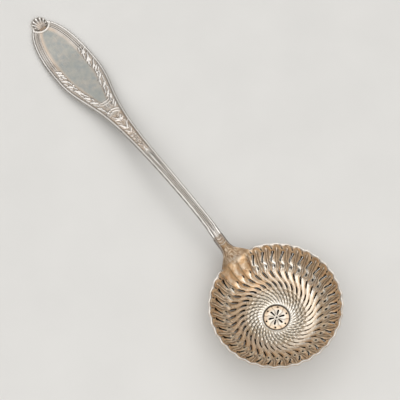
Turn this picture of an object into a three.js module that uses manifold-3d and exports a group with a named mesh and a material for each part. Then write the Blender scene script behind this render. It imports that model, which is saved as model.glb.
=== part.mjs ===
// Sifter spoon in solid silver: a round, deep bowl with swirling flutes, pierced all over, on a struck
// handle that ends in a long oval cartouche and a small scallop shell.
// Millimetres, +Z up, +X from the bowl towards the finial. The spoon lies as it does on a table, touching
// it under the bowl and under the cartouche. Origin: the middle of its bounding box, on the table.
import * as THREE from "three";
import { mergeVertices } from "three/addons/utils/BufferGeometryUtils.js";
import Module from "manifold-3d";

const wasm = await Module();
wasm.setup();

// Bowl
const RIM_RADIUS = 27.6;
const BOWL_DEPTH = 15.8;
const BOWL_CURVE = 3.5;
const BOWL_TILT = THREE.MathUtils.degToRad(11.3);
const FLOOR_WALL = 1.2;
const RIM_WALL = 0.8;
const REST_FLAT = 0.1;

// Flutes: each is a petal with a flat crest between two sharp grooves
const FLUTES = 36;
const FLUTE_PHASE = THREE.MathUtils.degToRad(4.5);
const SWIRL = THREE.MathUtils.degToRad(29.5);
const CREST_HEIGHT = 0.75;
const CREST_HALF_WIDTH = 0.35;
const PLAIN_CREST_HEIGHT = 0.35;
const PLAIN_FLUTES = 3;

// Places in the wall as a share of the way from the rosette's seat to the rim
const PLAIN_FROM = 0.75;
const SMOOTH_BACK_TO = 0.34;
const RIDGES_AT = 0.18;

// Piercing, from the rim inwards. Slots lie in the crests, and one ring lies in the grooves.
// The plain flutes by the neck have no holes in the two outer rings.
// Ends are shares of the way from the seat to the rim, and half widths are millimetres.
const PIERCINGS = [
  { ends: [0.976, 0.948], outerHalf: 0.25, innerHalf: 0.25, onPlain: false },
  { ends: [0.919, 0.872, 0.82], outerHalf: 0.6, innerHalf: 0.15, onPlain: false },
  { ends: [0.749, 0.72], outerHalf: 0.3, innerHalf: 0.3, onPlain: true },
  { ends: [0.645, 0.588, 0.526], grooveHalf: 0.32, onPlain: true },
  { ends: [0.45, 0.37], outerHalf: 0.4, innerHalf: 0.15, onPlain: true },
];

// Rosette disc, let into the floor
const ROSETTE_RADIUS = 5.5;
const ROSETTE_THICKNESS = 0.55;
const ROSETTE_PETALS = 6;
const SLOT_PHASE = THREE.MathUtils.degToRad(6);
const HOLE_PHASE = THREE.MathUtils.degToRad(14);
const SLOT_INNER = 1.1;
const SLOT_LENGTH = 2.1;
const SLOT_HALF_WIDTH = 0.32;
const HOLE_FROM_EDGE = 0.8;
const HOLE_RADIUS = 0.28;
const SEAM = 0.3;
const SEAT_GAP = 0.15;
const LEDGE = 0.9;

// Neck, one with the bowl: it flares into the rim with a fillet on both sides
const NECK_LENGTH = 10;
const NECK_HALF_WIDTH = 2.2;
const NECK_ANGLE = THREE.MathUtils.degToRad(15);
const NECK_THICKNESS = 2.8;
const THROAT_DROP = 4.6;
const SCARF_LAP = 4;
const SCARF_SLOPE = THREE.MathUtils.degToRad(40);

// Handle
const STEM_HALF_WIDTH = 2;
const STEM_THICKNESS = 3.2;
const CROWN_RISE = 3.7;
const CROWN_FROM_RIM = 25;
const CARTOUCHE_HALF_WIDTH = 11.25;
const CARTOUCHE_THICKNESS = 2.4;
const CARTOUCHE_FROM_RIM = 123.8;
const CARTOUCHE_TIP_REACH = 30.2;
const CARTOUCHE_STEM_REACH = 27.8;
const CARTOUCHE_FULLNESS = 2.2;
const REST_FROM_CARTOUCHE = 9;
const SHOULDER_HALF_WIDTH = 4.9;
const THREAD_WIDTH = 0.9;
const THREAD_HEIGHT = 0.4;
const RIB_HALF_WIDTH = 0.55;
const RIB_HEIGHT = 0.4;
const RIB_LENGTH = 50;
const RIB_FADE = 5;
const THREAD_FADE = 3;

// Finial: a small scallop shell whose foot stands in the notch between the shoulders
const NOTCH_DEPTH = 2.8;
const FINIAL_RADIUS = 4.05;
const FINIAL_THICKNESS = 3.4;
const FINIAL_EDGE = 1.3;
const FINIAL_RIBS = 9;
const FINIAL_SCALLOP = 0.35;
const FINIAL_FURROW = 0.45;
const FOOT_CUT = 0.3;

const SILVER = { color: 0xc9c2b6, roughness: 0.34, metalness: 1 };
const GILT = { color: 0xc7a878, roughness: 0.38, metalness: 1 };

// A smooth line through a few [x, value] points, as a function of x. It never swings past a point:
// it runs level at a crest and along a level stretch.
function smoothLine(points) {
  const secant = (i) => (points[i + 1][1] - points[i][1]) / (points[i + 1][0] - points[i][0]);
  const slope = (i) => {
    if (i === 0) return secant(0);
    if (i === points.length - 1) return secant(i - 1);
    const [before, after] = [secant(i - 1), secant(i)];
    return before * after > 0 ? (2 * before * after) / (before + after) : 0;
  };
  return (x) => {
    let i = points.findIndex((p) => p[0] >= x) - 1;
    if (x <= points[0][0]) i = 0;
    if (x >= points.at(-1)[0]) return points.at(-1)[1];
    const [x0, v0] = points[i];
    const [x1, v1] = points[i + 1];
    const run = x1 - x0;
    const t = (x - x0) / run;
    const rise = v1 - v0;
    const a = slope(i) * run - rise;
    const b = rise - slope(i + 1) * run;
    return v0 + rise * t + t * (1 - t) * (a * (1 - t) + b * t);
  };
}

function solidFrom(geometry) {
  const bare = new THREE.BufferGeometry().setAttribute("position", geometry.getAttribute("position"));
  if (geometry.index) bare.setIndex(geometry.index);
  const merged = mergeVertices(bare, 1e-4);
  return new wasm.Manifold(
    new wasm.Mesh({
      numProp: 3,
      vertProperties: new Float32Array(merged.attributes.position.array),
      triVerts: new Uint32Array(merged.index.array),
    }),
  );
}

function geometryFrom(solid) {
  const mesh = solid.getMesh();
  const positions = new Float32Array(mesh.numVert * 3);
  for (let i = 0; i < mesh.numVert; i++) {
    positions.set(mesh.vertProperties.subarray(i * mesh.numProp, i * mesh.numProp + 3), i * 3);
  }
  return new THREE.BufferGeometry()
    .setAttribute("position", new THREE.BufferAttribute(positions, 3))
    .setIndex(new THREE.BufferAttribute(new Uint32Array(mesh.triVerts), 1));
}

// A closed loft through rings of points, all with the same count, each ring counter-clockwise
// when seen from the last ring towards the first
function loft(rings) {
  const count = rings[0].length;
  const positions = [];
  const faces = [];
  rings.forEach((ring) => ring.forEach((p) => positions.push(p.x, p.y, p.z)));
  for (let i = 0; i + 1 < rings.length; i++) {
    for (let j = 0; j < count; j++) {
      const a = i * count + j;
      const b = i * count + ((j + 1) % count);
      faces.push(a, b, b + count, a, b + count, a + count);
    }
  }
  const outline = (ring) => ring.map((p) => new THREE.Vector2(p.y, p.z));
  const last = (rings.length - 1) * count;
  THREE.ShapeUtils.triangulateShape(outline(rings[0]), []).forEach(([a, b, c]) => faces.push(c, b, a));
  THREE.ShapeUtils.triangulateShape(outline(rings.at(-1)), []).forEach(([a, b, c]) =>
    faces.push(last + a, last + b, last + c),
  );
  const geometry = new THREE.BufferGeometry();
  geometry.setAttribute("position", new THREE.Float32BufferAttribute(positions, 3));
  geometry.setIndex(faces);
  return geometry;
}

const bowlInner = RIM_RADIUS - RIM_WALL;
const seatRadius = ROSETTE_RADIUS + SEAM;
const holeRadius = seatRadius - LEDGE;
const pitch = (2 * Math.PI) / FLUTES;
const fromSeat = (r) => (r - seatRadius) / (bowlInner - seatRadius);
const radiusAt = (share) => THREE.MathUtils.lerp(seatRadius, bowlInner, share);

// A point of the wall in the bowl's own frame, whose origin is the middle of the mouth:
// at radius r of the smooth bowl inside the wall, moved by lift towards the inside
function wallPoint(r, angle, lift) {
  const share = r / bowlInner;
  const height = BOWL_DEPTH * (share ** BOWL_CURVE - 1);
  const slope = Math.atan((BOWL_CURVE * BOWL_DEPTH * share ** (BOWL_CURVE - 1)) / bowlInner);
  const radius = r - lift * Math.sin(slope);
  const z = height + lift * Math.cos(slope);
  return new THREE.Vector3(radius * Math.cos(angle), radius * Math.sin(angle), z);
}

const wallAt = (r) => THREE.MathUtils.lerp(FLOOR_WALL, RIM_WALL, fromSeat(r));
const swirlAt = (r) => -SWIRL * (1 - fromSeat(r)) ** 2;

function crestHeight(r, plain) {
  const height = CREST_HEIGHT * Math.sin(0.8 * Math.PI * fromSeat(r));
  const plainness = plain ? THREE.MathUtils.smoothstep(fromSeat(r), PLAIN_FROM - 0.1, PLAIN_FROM) : 0;
  return height * THREE.MathUtils.lerp(1, PLAIN_CREST_HEIGHT / CREST_HEIGHT, plainness);
}

const backShare = (r) => THREE.MathUtils.smoothstep(fromSeat(r), SMOOTH_BACK_TO, SMOOTH_BACK_TO + 0.19);

// The radii at which the bowl's wall is set out, from the rim to the rosette's seat
function bowlStations() {
  const stations = [{ r: bowlInner, crestHalf: CREST_HALF_WIDTH, grooveHalf: 0 }];
  PIERCINGS.forEach((ring, index) => {
    ring.ends.forEach((share, i) => {
      const along = i / (ring.ends.length - 1);
      const inCrest = ring.grooveHalf === undefined;
      stations.push({
        r: radiusAt(share),
        crestHalf: inCrest ? THREE.MathUtils.lerp(ring.outerHalf, ring.innerHalf, along) : CREST_HALF_WIDTH,
        grooveHalf: inCrest || along === 0 || along === 1 ? 0 : ring.grooveHalf,
        ring: i + 1 < ring.ends.length ? index : undefined,
      });
    });
  });
  stations.push({ r: radiusAt(RIDGES_AT), crestHalf: CREST_HALF_WIDTH, grooveHalf: 0 });
  stations.push({ r: seatRadius, crestHalf: CREST_HALF_WIDTH / 2, grooveHalf: 0 });
  return stations;
}

function bowlShell() {
  const stations = bowlStations();
  const positions = [];
  const quad = (...corners) => {
    for (const i of [0, 1, 2, 0, 2, 3]) positions.push(...corners[i].toArray());
  };
  const isPlain = (petal) => Math.abs(((petal + FLUTES / 2) % FLUTES) - FLUTES / 2) < PLAIN_FLUTES / 2;
  const centre = (petal) => FLUTE_PHASE + petal * pitch;

  // The two sides of a groove, and the two edges of a crest, at one station
  const column = (petal, name, s) => {
    const plain = isPlain(petal);
    const lift = crestHeight(s.r, plain);
    const isGroove = name.startsWith("groove");
    const half = isGroove ? s.grooveHalf : s.crestHalf;
    const across = name === "left" || name === "grooveBefore" ? -half : half;
    const angle = centre(petal) - (isGroove ? pitch / 2 : 0) + swirlAt(s.r) + across / s.r;
    const inside = isGroove ? 0 : lift;
    return {
      inside: wallPoint(s.r, angle, inside),
      outside: wallPoint(s.r, angle, inside * backShare(s.r) - wallAt(s.r)),
      angle,
    };
  };

  for (let petal = 0; petal < FLUTES; petal++) {
    const strips = [
      [petal, "grooveAfter", petal, "left"],
      [petal, "left", petal, "right"],
      [petal, "right", petal + 1, "grooveBefore"],
    ];
    const openBand = (i) => {
      const ring = PIERCINGS[stations[i]?.ring];
      if (!ring || ring.grooveHalf !== undefined) return false;
      return ring.onPlain || !isPlain(petal);
    };
    for (let i = 0; i + 1 < stations.length; i++) {
      const [s, t] = [stations[i], stations[i + 1]];
      strips.forEach(([p, first, q, second]) => {
        if (first === "left" && openBand(i)) return;
        const [a, b] = [column(p, first, s), column(q, second, s)];
        const [c, d] = [column(q, second, t), column(p, first, t)];
        quad(a.inside, b.inside, c.inside, d.inside);
        quad(d.outside, c.outside, b.outside, a.outside);
      });
      const side = (p, name, forward) => {
        const [a, b] = [column(p, name, s), column(p, name, t)];
        if (forward) quad(b.inside, a.inside, a.outside, b.outside);
        else quad(a.inside, b.inside, b.outside, a.outside);
      };
      if (openBand(i)) {
        side(petal, "left", true);
        side(petal, "right", false);
        const end = (station, flip) => {
          const [l, r] = [column(petal, "left", station), column(petal, "right", station)];
          if (flip) quad(r.inside, l.inside, l.outside, r.outside);
          else quad(l.inside, r.inside, r.outside, l.outside);
        };
        if (!openBand(i - 1)) end(s, false);
        if (!openBand(i + 1)) end(t, true);
      }
      if (s.grooveHalf + t.grooveHalf > 0) {
        side(petal, "grooveBefore", true);
        side(petal, "grooveAfter", false);
      }
    }
    // Rim, and the rosette's seat: a riser, a ledge and the hole under it
    const ledgeLift = -(ROSETTE_THICKNESS + SEAT_GAP);
    strips.forEach(([p, first, q, second]) => {
      const [rimA, rimB] = [column(p, first, stations[0]), column(q, second, stations[0])];
      quad(rimA.outside, rimB.outside, rimB.inside, rimA.inside);
      const seat = stations.at(-1);
      const steps = [column(p, first, seat), column(q, second, seat)].map((c) => {
        const at = (r, z) => new THREE.Vector3(r * Math.cos(c.angle), r * Math.sin(c.angle), z);
        const floor = -BOWL_DEPTH;
        return [
          c.inside,
          at(seatRadius, floor + ledgeLift),
          at(holeRadius, floor + ledgeLift),
          at(holeRadius, floor - FLOOR_WALL),
          c.outside,
        ];
      });
      for (let k = 0; k + 1 < steps[0].length; k++) {
        quad(steps[0][k], steps[1][k], steps[1][k + 1], steps[0][k + 1]);
      }
    });
  }
  const geometry = new THREE.BufferGeometry();
  geometry.setAttribute("position", new THREE.Float32BufferAttribute(positions, 3));
  return mergeVertices(geometry, 1e-4);
}

// The bowl's frame leans towards the handle, and its wall's lowest point is cut flat to rest on
const tilt = new THREE.Matrix4().makeRotationY(BOWL_TILT);
const shellGeometry = bowlShell().applyMatrix4(tilt);
shellGeometry.computeBoundingBox();
const mouthHeight = -shellGeometry.boundingBox.min.z - REST_FLAT;
const bowlPlace = new THREE.Matrix4().makeTranslation(0, 0, mouthHeight).multiply(tilt);
const rimX = RIM_RADIUS * Math.cos(BOWL_TILT);
const rimZ = mouthHeight - RIM_RADIUS * Math.sin(BOWL_TILT);

// Places along the handle
const seamX = rimX + NECK_LENGTH;
const crownX = rimX + CROWN_FROM_RIM;

// The throat runs out on the wall where the wall is THROAT_DROP below the mouth
const throatRadius = bowlInner * (1 - THROAT_DROP / BOWL_DEPTH) ** (1 / BOWL_CURVE);
const throatEnd = new THREE.Vector3(throatRadius, 0, -THROAT_DROP).applyMatrix4(bowlPlace);
const throatX = throatEnd.x;
const neckStartX = throatX - NECK_THICKNESS;
const cartoucheX = rimX + CARTOUCHE_FROM_RIM;
const restX = cartoucheX + REST_FROM_CARTOUCHE;
const crownZ = rimZ + CROWN_RISE;

// The upper half of the cartouche is half an oval, cut off at the shoulders
const ovalShare = (share) => (1 - share ** CARTOUCHE_FULLNESS) ** (1 / CARTOUCHE_FULLNESS);
const shoulderX = cartoucheX + CARTOUCHE_TIP_REACH * ovalShare(SHOULDER_HALF_WIDTH / CARTOUCHE_HALF_WIDTH);
const finialX = shoulderX - NOTCH_DEPTH + SEAM + FINIAL_RADIUS;
const footX = finialX - FINIAL_RADIUS + FOOT_CUT;
const tipX = finialX + FINIAL_RADIUS;

// The fillet between the neck's side and the rim: tangent to both
const filletRadius =
  (RIM_RADIUS * Math.sin(NECK_ANGLE) - NECK_HALF_WIDTH) / (1 - Math.sin(NECK_ANGLE));
const filletX = (RIM_RADIUS + filletRadius) * Math.cos(NECK_ANGLE);

// Share of the crown's height over the cartouche, by share of the way from the crown to the rest
const ARCH_LINE = [
  [0.17, 0.92],
  [0.35, 0.71],
  [0.54, 0.46],
  [0.72, 0.23],
  [0.9, 0.06],
];
const topLine = smoothLine([
  [neckStartX, throatEnd.z - 0.4 * NECK_THICKNESS],
  [throatX, throatEnd.z],
  [rimX + 0.8 * NECK_LENGTH, rimZ],
  [rimX + 1.3 * NECK_LENGTH, rimZ + 0.55 * CROWN_RISE],
  [rimX + 1.8 * NECK_LENGTH, rimZ + 0.86 * CROWN_RISE],
  [crownX, crownZ],
  ...ARCH_LINE.map(([along, up]) => [
    THREE.MathUtils.lerp(crownX, restX, along),
    THREE.MathUtils.lerp(CARTOUCHE_THICKNESS, crownZ, up),
  ]),
  [restX, CARTOUCHE_THICKNESS],
  [tipX, CARTOUCHE_THICKNESS],
]);
const thicknessLine = smoothLine([
  [neckStartX, 0.5 * NECK_THICKNESS],
  [throatX, 0.55 * NECK_THICKNESS],
  [rimX + 0.8 * NECK_LENGTH, NECK_THICKNESS],
  [crownX, STEM_THICKNESS],
  [THREE.MathUtils.lerp(crownX, cartoucheX, 0.5), STEM_THICKNESS],
  [cartoucheX, CARTOUCHE_THICKNESS],
  [tipX, CARTOUCHE_THICKNESS],
]);

function halfWidthAt(x) {
  if (x > cartoucheX) return CARTOUCHE_HALF_WIDTH * ovalShare((x - cartoucheX) / CARTOUCHE_TIP_REACH);
  const stem = THREE.MathUtils.lerp(
    NECK_HALF_WIDTH,
    STEM_HALF_WIDTH,
    THREE.MathUtils.smoothstep(x, seamX, crownX),
  );
  const bell = (CARTOUCHE_HALF_WIDTH - stem) / (1 + ((cartoucheX - x) / CARTOUCHE_STEM_REACH) ** 3);
  const intoFillet = THREE.MathUtils.clamp(filletX - x, 0, filletRadius * Math.cos(NECK_ANGLE));
  return stem + bell + filletRadius - Math.sqrt(filletRadius ** 2 - intoFillet ** 2);
}

// How far the throat's sides stand over its middle: at the rim they reach the rim's own height
function throatRise(x) {
  const inside = THREE.MathUtils.clamp((seamX - x) / (seamX - throatX), 0, 1);
  const rimAtFillet = mouthHeight - RIM_RADIUS * Math.cos(NECK_ANGLE) * Math.sin(BOWL_TILT);
  return (rimAtFillet - throatEnd.z) * inside ** 1.3;
}

// The top of a section from its right edge to its left, and its whole outline
function topOutline(x) {
  const half = halfWidthAt(x);
  const top = topLine(x);
  const thread = THREAD_HEIGHT * THREE.MathUtils.smoothstep(x, seamX, seamX + THREAD_FADE);
  const ribStart = seamX + THREAD_FADE;
  const ribEnd = ribStart + RIB_LENGTH;
  const rib =
    RIB_HEIGHT *
    THREE.MathUtils.smoothstep(x, ribStart, ribStart + RIB_FADE) *
    (1 - THREE.MathUtils.smoothstep(x, ribEnd - RIB_FADE, ribEnd));
  const at = (y, down) => new THREE.Vector3(x, y, top - down + throatRise(x) * (y / half) ** 2);
  const right = [
    at(half - 0.25 * THREAD_WIDTH, 0.15 * thread),
    at(half - 0.5 * THREAD_WIDTH, 0),
    at(half - THREAD_WIDTH, thread),
    at(Math.min(RIB_HALF_WIDTH, 0.3 * half), thread),
  ];
  const left = right.map((p) => new THREE.Vector3(x, -p.y, p.z)).reverse();
  return [...right, at(0, thread - rib), ...left];
}

function section(x) {
  const half = halfWidthAt(x);
  const thickness = thicknessLine(x);
  const top = topLine(x);
  const at = (share, down) =>
    new THREE.Vector3(x, share * half, top - down + throatRise(x) * share ** 2);
  return [
    at(1, 0.5 * thickness),
    ...topOutline(x),
    at(-1, 0.5 * thickness),
    at(-0.72, thickness),
    at(-0.36, thickness),
    at(0.36, thickness),
    at(0.72, thickness),
  ];
}

const steps = (from, to, count) =>
  Array.from({ length: count + 1 }, (_, i) => THREE.MathUtils.lerp(from, to, i / count));

// A block whose one face is the scarf between neck and stem, on the handle's side or the bowl's
function scarfBlock(towardsHandle) {
  const size = 4 * NECK_LENGTH;
  const middle = topLine(seamX) - 0.5 * thicknessLine(seamX);
  const block = new THREE.BoxGeometry(size, size, size);
  block.translate(towardsHandle ? size / 2 : -size / 2, 0, 0);
  block.rotateY(SCARF_SLOPE).translate(seamX, 0, middle);
  return solidFrom(block);
}

function makeBowl() {
  const shell = solidFrom(shellGeometry.clone().translate(0, 0, mouthHeight));
  const neckXs = [...steps(neckStartX, filletX, 10), ...steps(filletX, seamX + SCARF_LAP, 3).slice(1)];
  const neckRoot = solidFrom(loft(neckXs.map(section)));
  // What stands over the throat: the piece of rim between the neck's two fillets
  const overThroat = neckXs.map((x) => {
    const top = topOutline(x);
    const lid = rimZ + BOWL_DEPTH;
    const half = halfWidthAt(x);
    return [
      new THREE.Vector3(x, half, top[0].z),
      ...top,
      new THREE.Vector3(x, -half, top[0].z),
      new THREE.Vector3(x, -half, lid),
      new THREE.Vector3(x, half, lid),
    ];
  });
  const throat = solidFrom(loft(overThroat.map((ring) => [...ring].reverse())));
  const radii = steps(bowlInner, 0, 16);
  const hollow = radii.map((r) => wallPoint(r, 0, -0.1)).map((p) => new THREE.Vector2(p.x, p.z));
  hollow.unshift(new THREE.Vector2(0, BOWL_DEPTH), new THREE.Vector2(bowlInner, BOWL_DEPTH));
  hollow[hollow.length - 1].x = 0;
  const inside = solidFrom(
    new THREE.LatheGeometry(hollow.reverse(), 72).rotateX(Math.PI / 2).applyMatrix4(bowlPlace),
  );
  const neck = neckRoot.subtract(inside).subtract(scarfBlock(true));
  const table = solidFrom(
    new THREE.BoxGeometry(4 * RIM_RADIUS, 4 * RIM_RADIUS, BOWL_DEPTH).translate(0, 0, -BOWL_DEPTH / 2),
  );
  return shell.subtract(throat).add(neck).subtract(table);
}

function makeHandle() {
  const stem = steps(seamX - SCARF_LAP, cartoucheX, 24);
  const oval = steps(cartoucheX, shoulderX, 12).slice(1);
  const blank = solidFrom(loft([...stem, ...oval].map(section)));
  const notch = solidFrom(
    new THREE.CylinderGeometry(FINIAL_RADIUS + SEAM, FINIAL_RADIUS + SEAM, 4 * CARTOUCHE_THICKNESS, 48)
      .rotateX(Math.PI / 2)
      .translate(finialX, 0, CARTOUCHE_THICKNESS / 2),
  );
  return blank.subtract(scarfBlock(false)).subtract(notch.intersect(pastFoot()));
}

// All that lies past the flat face on which the finial's foot stands
function pastFoot() {
  const size = 4 * FINIAL_RADIUS;
  return solidFrom(new THREE.BoxGeometry(size, size, size).translate(footX + size / 2, 0, 0));
}

// A scallop shell: ribs fan out from its foot to a scalloped edge, and the back is flat
function makeFinial() {
  const turns = steps(-0.46 * Math.PI, 0.46 * Math.PI, 6 * FINIAL_RIBS);
  const rows = steps(0, 1, 6);
  const positions = [];
  const faces = [];
  turns.forEach((turn) => {
    const furrow = Math.abs(Math.sin((FINIAL_RIBS * turn) / 0.92)) ** 2;
    const reach = 2 * FINIAL_RADIUS * Math.cos(turn) - FINIAL_SCALLOP * furrow;
    rows.forEach((along) => {
      const dome = FINIAL_EDGE + (FINIAL_THICKNESS - FINIAL_EDGE) * Math.sqrt(1 - along ** 2);
      const radius = Math.max(reach, 0) * along;
      const x = finialX - FINIAL_RADIUS + radius * Math.cos(turn);
      positions.push(x, radius * Math.sin(turn), dome - FINIAL_FURROW * furrow * along);
    });
    positions.push(finialX - FINIAL_RADIUS + reach * Math.cos(turn), reach * Math.sin(turn), 0);
    positions.push(finialX - FINIAL_RADIUS, 0, 0);
  });
  const column = rows.length + 2;
  turns.slice(1).forEach((_, i) => {
    for (let j = 0; j + 1 < column; j++) {
      const a = i * column + j;
      faces.push(a, a + 1, a + 1 + column, a, a + 1 + column, a + column);
    }
  });
  const sides = [turns.length - 1, 0].map((i) =>
    steps(0, column - 1, column - 1).map((j) => i * column + j),
  );
  sides.forEach((edge, side) => {
    for (let j = 1; j + 1 < edge.length; j++) {
      if (side === 0) faces.push(edge[0], edge[j], edge[j + 1]);
      else faces.push(edge[0], edge[j + 1], edge[j]);
    }
  });
  const shell = new THREE.BufferGeometry();
  shell.setAttribute("position", new THREE.Float32BufferAttribute(positions, 3));
  shell.setIndex(faces);
  return solidFrom(shell).intersect(pastFoot());
}

function makeRosette() {
  const circle = (x, y, radius, sides) =>
    steps(0, 2 * Math.PI, sides)
      .slice(1)
      .map((a) => new THREE.Vector2(x + radius * Math.cos(a), y + radius * Math.sin(a)));
  const prism = (points, depth) =>
    solidFrom(
      new THREE.ExtrudeGeometry(new THREE.Shape(points), { depth, bevelEnabled: false }).translate(
        0, 0, (ROSETTE_THICKNESS - depth) / 2,
      ),
    );
  const drop = circle(0, 0, 1, 10).map(
    (p) => new THREE.Vector2(SLOT_INNER + (SLOT_LENGTH * (1 + p.x)) / 2, SLOT_HALF_WIDTH * p.y),
  );
  const hole = circle(ROSETTE_RADIUS - HOLE_FROM_EDGE, 0, HOLE_RADIUS, 6);
  let disc = prism(circle(0, 0, ROSETTE_RADIUS, 48), ROSETTE_THICKNESS);
  disc = disc.subtract(prism(circle(0, 0, HOLE_RADIUS, 6), 3 * ROSETTE_THICKNESS));
  for (let i = 0; i < ROSETTE_PETALS; i++) {
    const turn = (i * 2 * Math.PI) / ROSETTE_PETALS;
    const turned = (points, by) =>
      points.map((p) => p.clone().rotateAround(new THREE.Vector2(), turn + by));
    disc = disc.subtract(prism(turned(drop, SLOT_PHASE), 3 * ROSETTE_THICKNESS));
    disc = disc.subtract(prism(turned(hole, HOLE_PHASE), 3 * ROSETTE_THICKNESS));
  }
  return geometryFrom(disc);
}

function part(name, geometry, finish) {
  geometry.computeVertexNormals();
  const mesh = new THREE.Mesh(geometry, new THREE.MeshStandardMaterial(finish));
  mesh.name = name;
  return mesh;
}

const spoon = new THREE.Group();
spoon.add(part("bowl", geometryFrom(makeBowl()), GILT));
spoon.add(part("handle", geometryFrom(makeHandle()), SILVER));
spoon.add(part("finial", geometryFrom(makeFinial()), SILVER));

// The rosette lies on its ledge in the bowl's own frame
const bowlFrame = new THREE.Group();
bowlFrame.position.z = mouthHeight;
bowlFrame.rotation.y = BOWL_TILT;
const rosette = part("centre_rosette", makeRosette(), GILT);
rosette.position.z = -BOWL_DEPTH - ROSETTE_THICKNESS;
bowlFrame.add(rosette);
spoon.add(bowlFrame);

const model = new THREE.Group();
model.add(spoon);
model.updateMatrixWorld(true);
const box = new THREE.Box3().setFromObject(spoon, true);
spoon.position.x = -(box.min.x + box.max.x) / 2;

export default model;
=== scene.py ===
# %% [markdown]
# # A pierced silver spoon for sifting sugar
# The real spoon is struck and chased from silver: a round bowl of thirty-six swirling petals,
# pierced with rings of slots, on a slender handle with a long oval cartouche at its end.
# The bowl was gilded, and the gilding has worn thin where sugar and cloths rubbed it.
# This script dresses the solid model with fine pieces that keep the same places and sizes.

# %% Load the solid model
import math

import bmesh
import bpy
import numpy as np
from mathutils import Matrix, Vector


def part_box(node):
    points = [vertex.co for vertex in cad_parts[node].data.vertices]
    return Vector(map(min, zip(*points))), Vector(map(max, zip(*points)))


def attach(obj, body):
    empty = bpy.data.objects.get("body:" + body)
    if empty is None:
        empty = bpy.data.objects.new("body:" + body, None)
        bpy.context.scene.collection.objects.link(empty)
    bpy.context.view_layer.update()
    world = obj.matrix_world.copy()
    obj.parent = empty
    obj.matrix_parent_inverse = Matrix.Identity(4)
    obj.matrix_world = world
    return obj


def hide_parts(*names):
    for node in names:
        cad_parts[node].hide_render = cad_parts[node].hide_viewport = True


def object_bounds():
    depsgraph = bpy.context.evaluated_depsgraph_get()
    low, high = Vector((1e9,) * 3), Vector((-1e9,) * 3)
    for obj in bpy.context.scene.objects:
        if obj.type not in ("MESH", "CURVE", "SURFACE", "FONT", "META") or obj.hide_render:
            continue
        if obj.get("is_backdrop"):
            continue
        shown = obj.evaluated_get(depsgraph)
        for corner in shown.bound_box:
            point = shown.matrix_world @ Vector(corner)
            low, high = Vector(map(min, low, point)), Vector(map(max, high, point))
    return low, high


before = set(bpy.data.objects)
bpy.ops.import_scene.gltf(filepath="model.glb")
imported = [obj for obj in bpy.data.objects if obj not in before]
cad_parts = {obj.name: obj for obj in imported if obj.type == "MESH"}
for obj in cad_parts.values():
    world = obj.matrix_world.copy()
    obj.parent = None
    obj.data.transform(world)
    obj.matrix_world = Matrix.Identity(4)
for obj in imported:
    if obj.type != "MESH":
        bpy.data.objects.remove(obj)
cad_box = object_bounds()
print("solid pieces:", sorted(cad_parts))

# %% [markdown]
# ## Units and small helpers
# The pieces are worked out in millimetres from the middle of the bowl's mouth, as a silversmith
# would draw them, and go into the frame in metres at the very end.

# %% Units and curves
MM = 0.001
TIP_FROM_MOUTH = 184.354
MOUTH_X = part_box("finial")[1].x / MM - TIP_FROM_MOUTH
print(f"the middle of the mouth lies at x = {MOUTH_X:.2f} mm")


def ramp(value, low, high):
    """From 0 at low to 1 at high, easing in and out."""
    share = np.clip((value - low) / (high - low), 0.0, 1.0)
    return share * share * (3.0 - 2.0 * share)


def band(value, rise, fall):
    """One between a rise and a fall, each given as the pair of values it runs between."""
    return ramp(value, *rise) * (1 - ramp(value, *fall))


def blend(first, second, share):
    return first + (second - first) * share


def smooth_line(points):
    """A curve through a few (x, value) points that never swings past one of them."""
    xs, values = (np.array(column, float) for column in zip(*points))
    runs, rises = np.diff(xs), np.diff(values)
    secants = rises / runs
    slopes = [secants[0], *np.zeros(len(xs) - 2), secants[-1]]
    for i, (before, after) in enumerate(zip(secants, secants[1:]), 1):
        if before * after > 0:
            slopes[i] = 2 * before * after / (before + after)
    slopes = np.array(slopes)

    def curve(x):
        x = np.asarray(x, float)
        i = np.clip(np.searchsorted(xs, x) - 1, 0, len(runs) - 1)
        t = np.clip((x - xs[i]) / runs[i], 0.0, 1.0)
        start = slopes[i] * runs[i] - rises[i]
        end = rises[i] - slopes[i + 1] * runs[i]
        return values[i] + rises[i] * t + t * (1 - t) * (start * (1 - t) + end * t)

    return curve


def soft_minimum(first, second, reach):
    """The lower of two heights, rounded where they cross."""
    share = np.clip(0.5 + 0.5 * (second - first) / reach, 0.0, 1.0)
    return blend(second, first, share) - reach * share * (1.0 - share)


def bump(distance, half_width):
    """One at the middle of a mark, falling smoothly to nothing at its sides."""
    return np.clip(1.0 - (distance / half_width) ** 2, 0.0, 1.0) ** 1.5


# %% [markdown]
# ## From a bmesh to a finished piece
# A piece is first a bmesh, cut and joined with operators. Then all its vertices are moved at once
# with numpy, which is how a flat blank is raised into a bowl here. Values that a finish needs,
# such as how deep a spot lies, are stored on the vertices for the material to read.

# %% Finish a piece
SHARP_ANGLE = math.radians(38)


def add_object(name, data):
    """Put a mesh, lamp or camera in the scene."""
    thing = bpy.data.objects.new(name, data)
    bpy.context.scene.collection.objects.link(thing)
    return thing


def flat_grid(columns, rows, size=1.0):
    bm = bmesh.new()
    bmesh.ops.create_grid(bm, x_segments=columns, y_segments=rows, size=size)
    return bm


def read_points(bm):
    return np.array([vertex.co for vertex in bm.verts], float)


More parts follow.
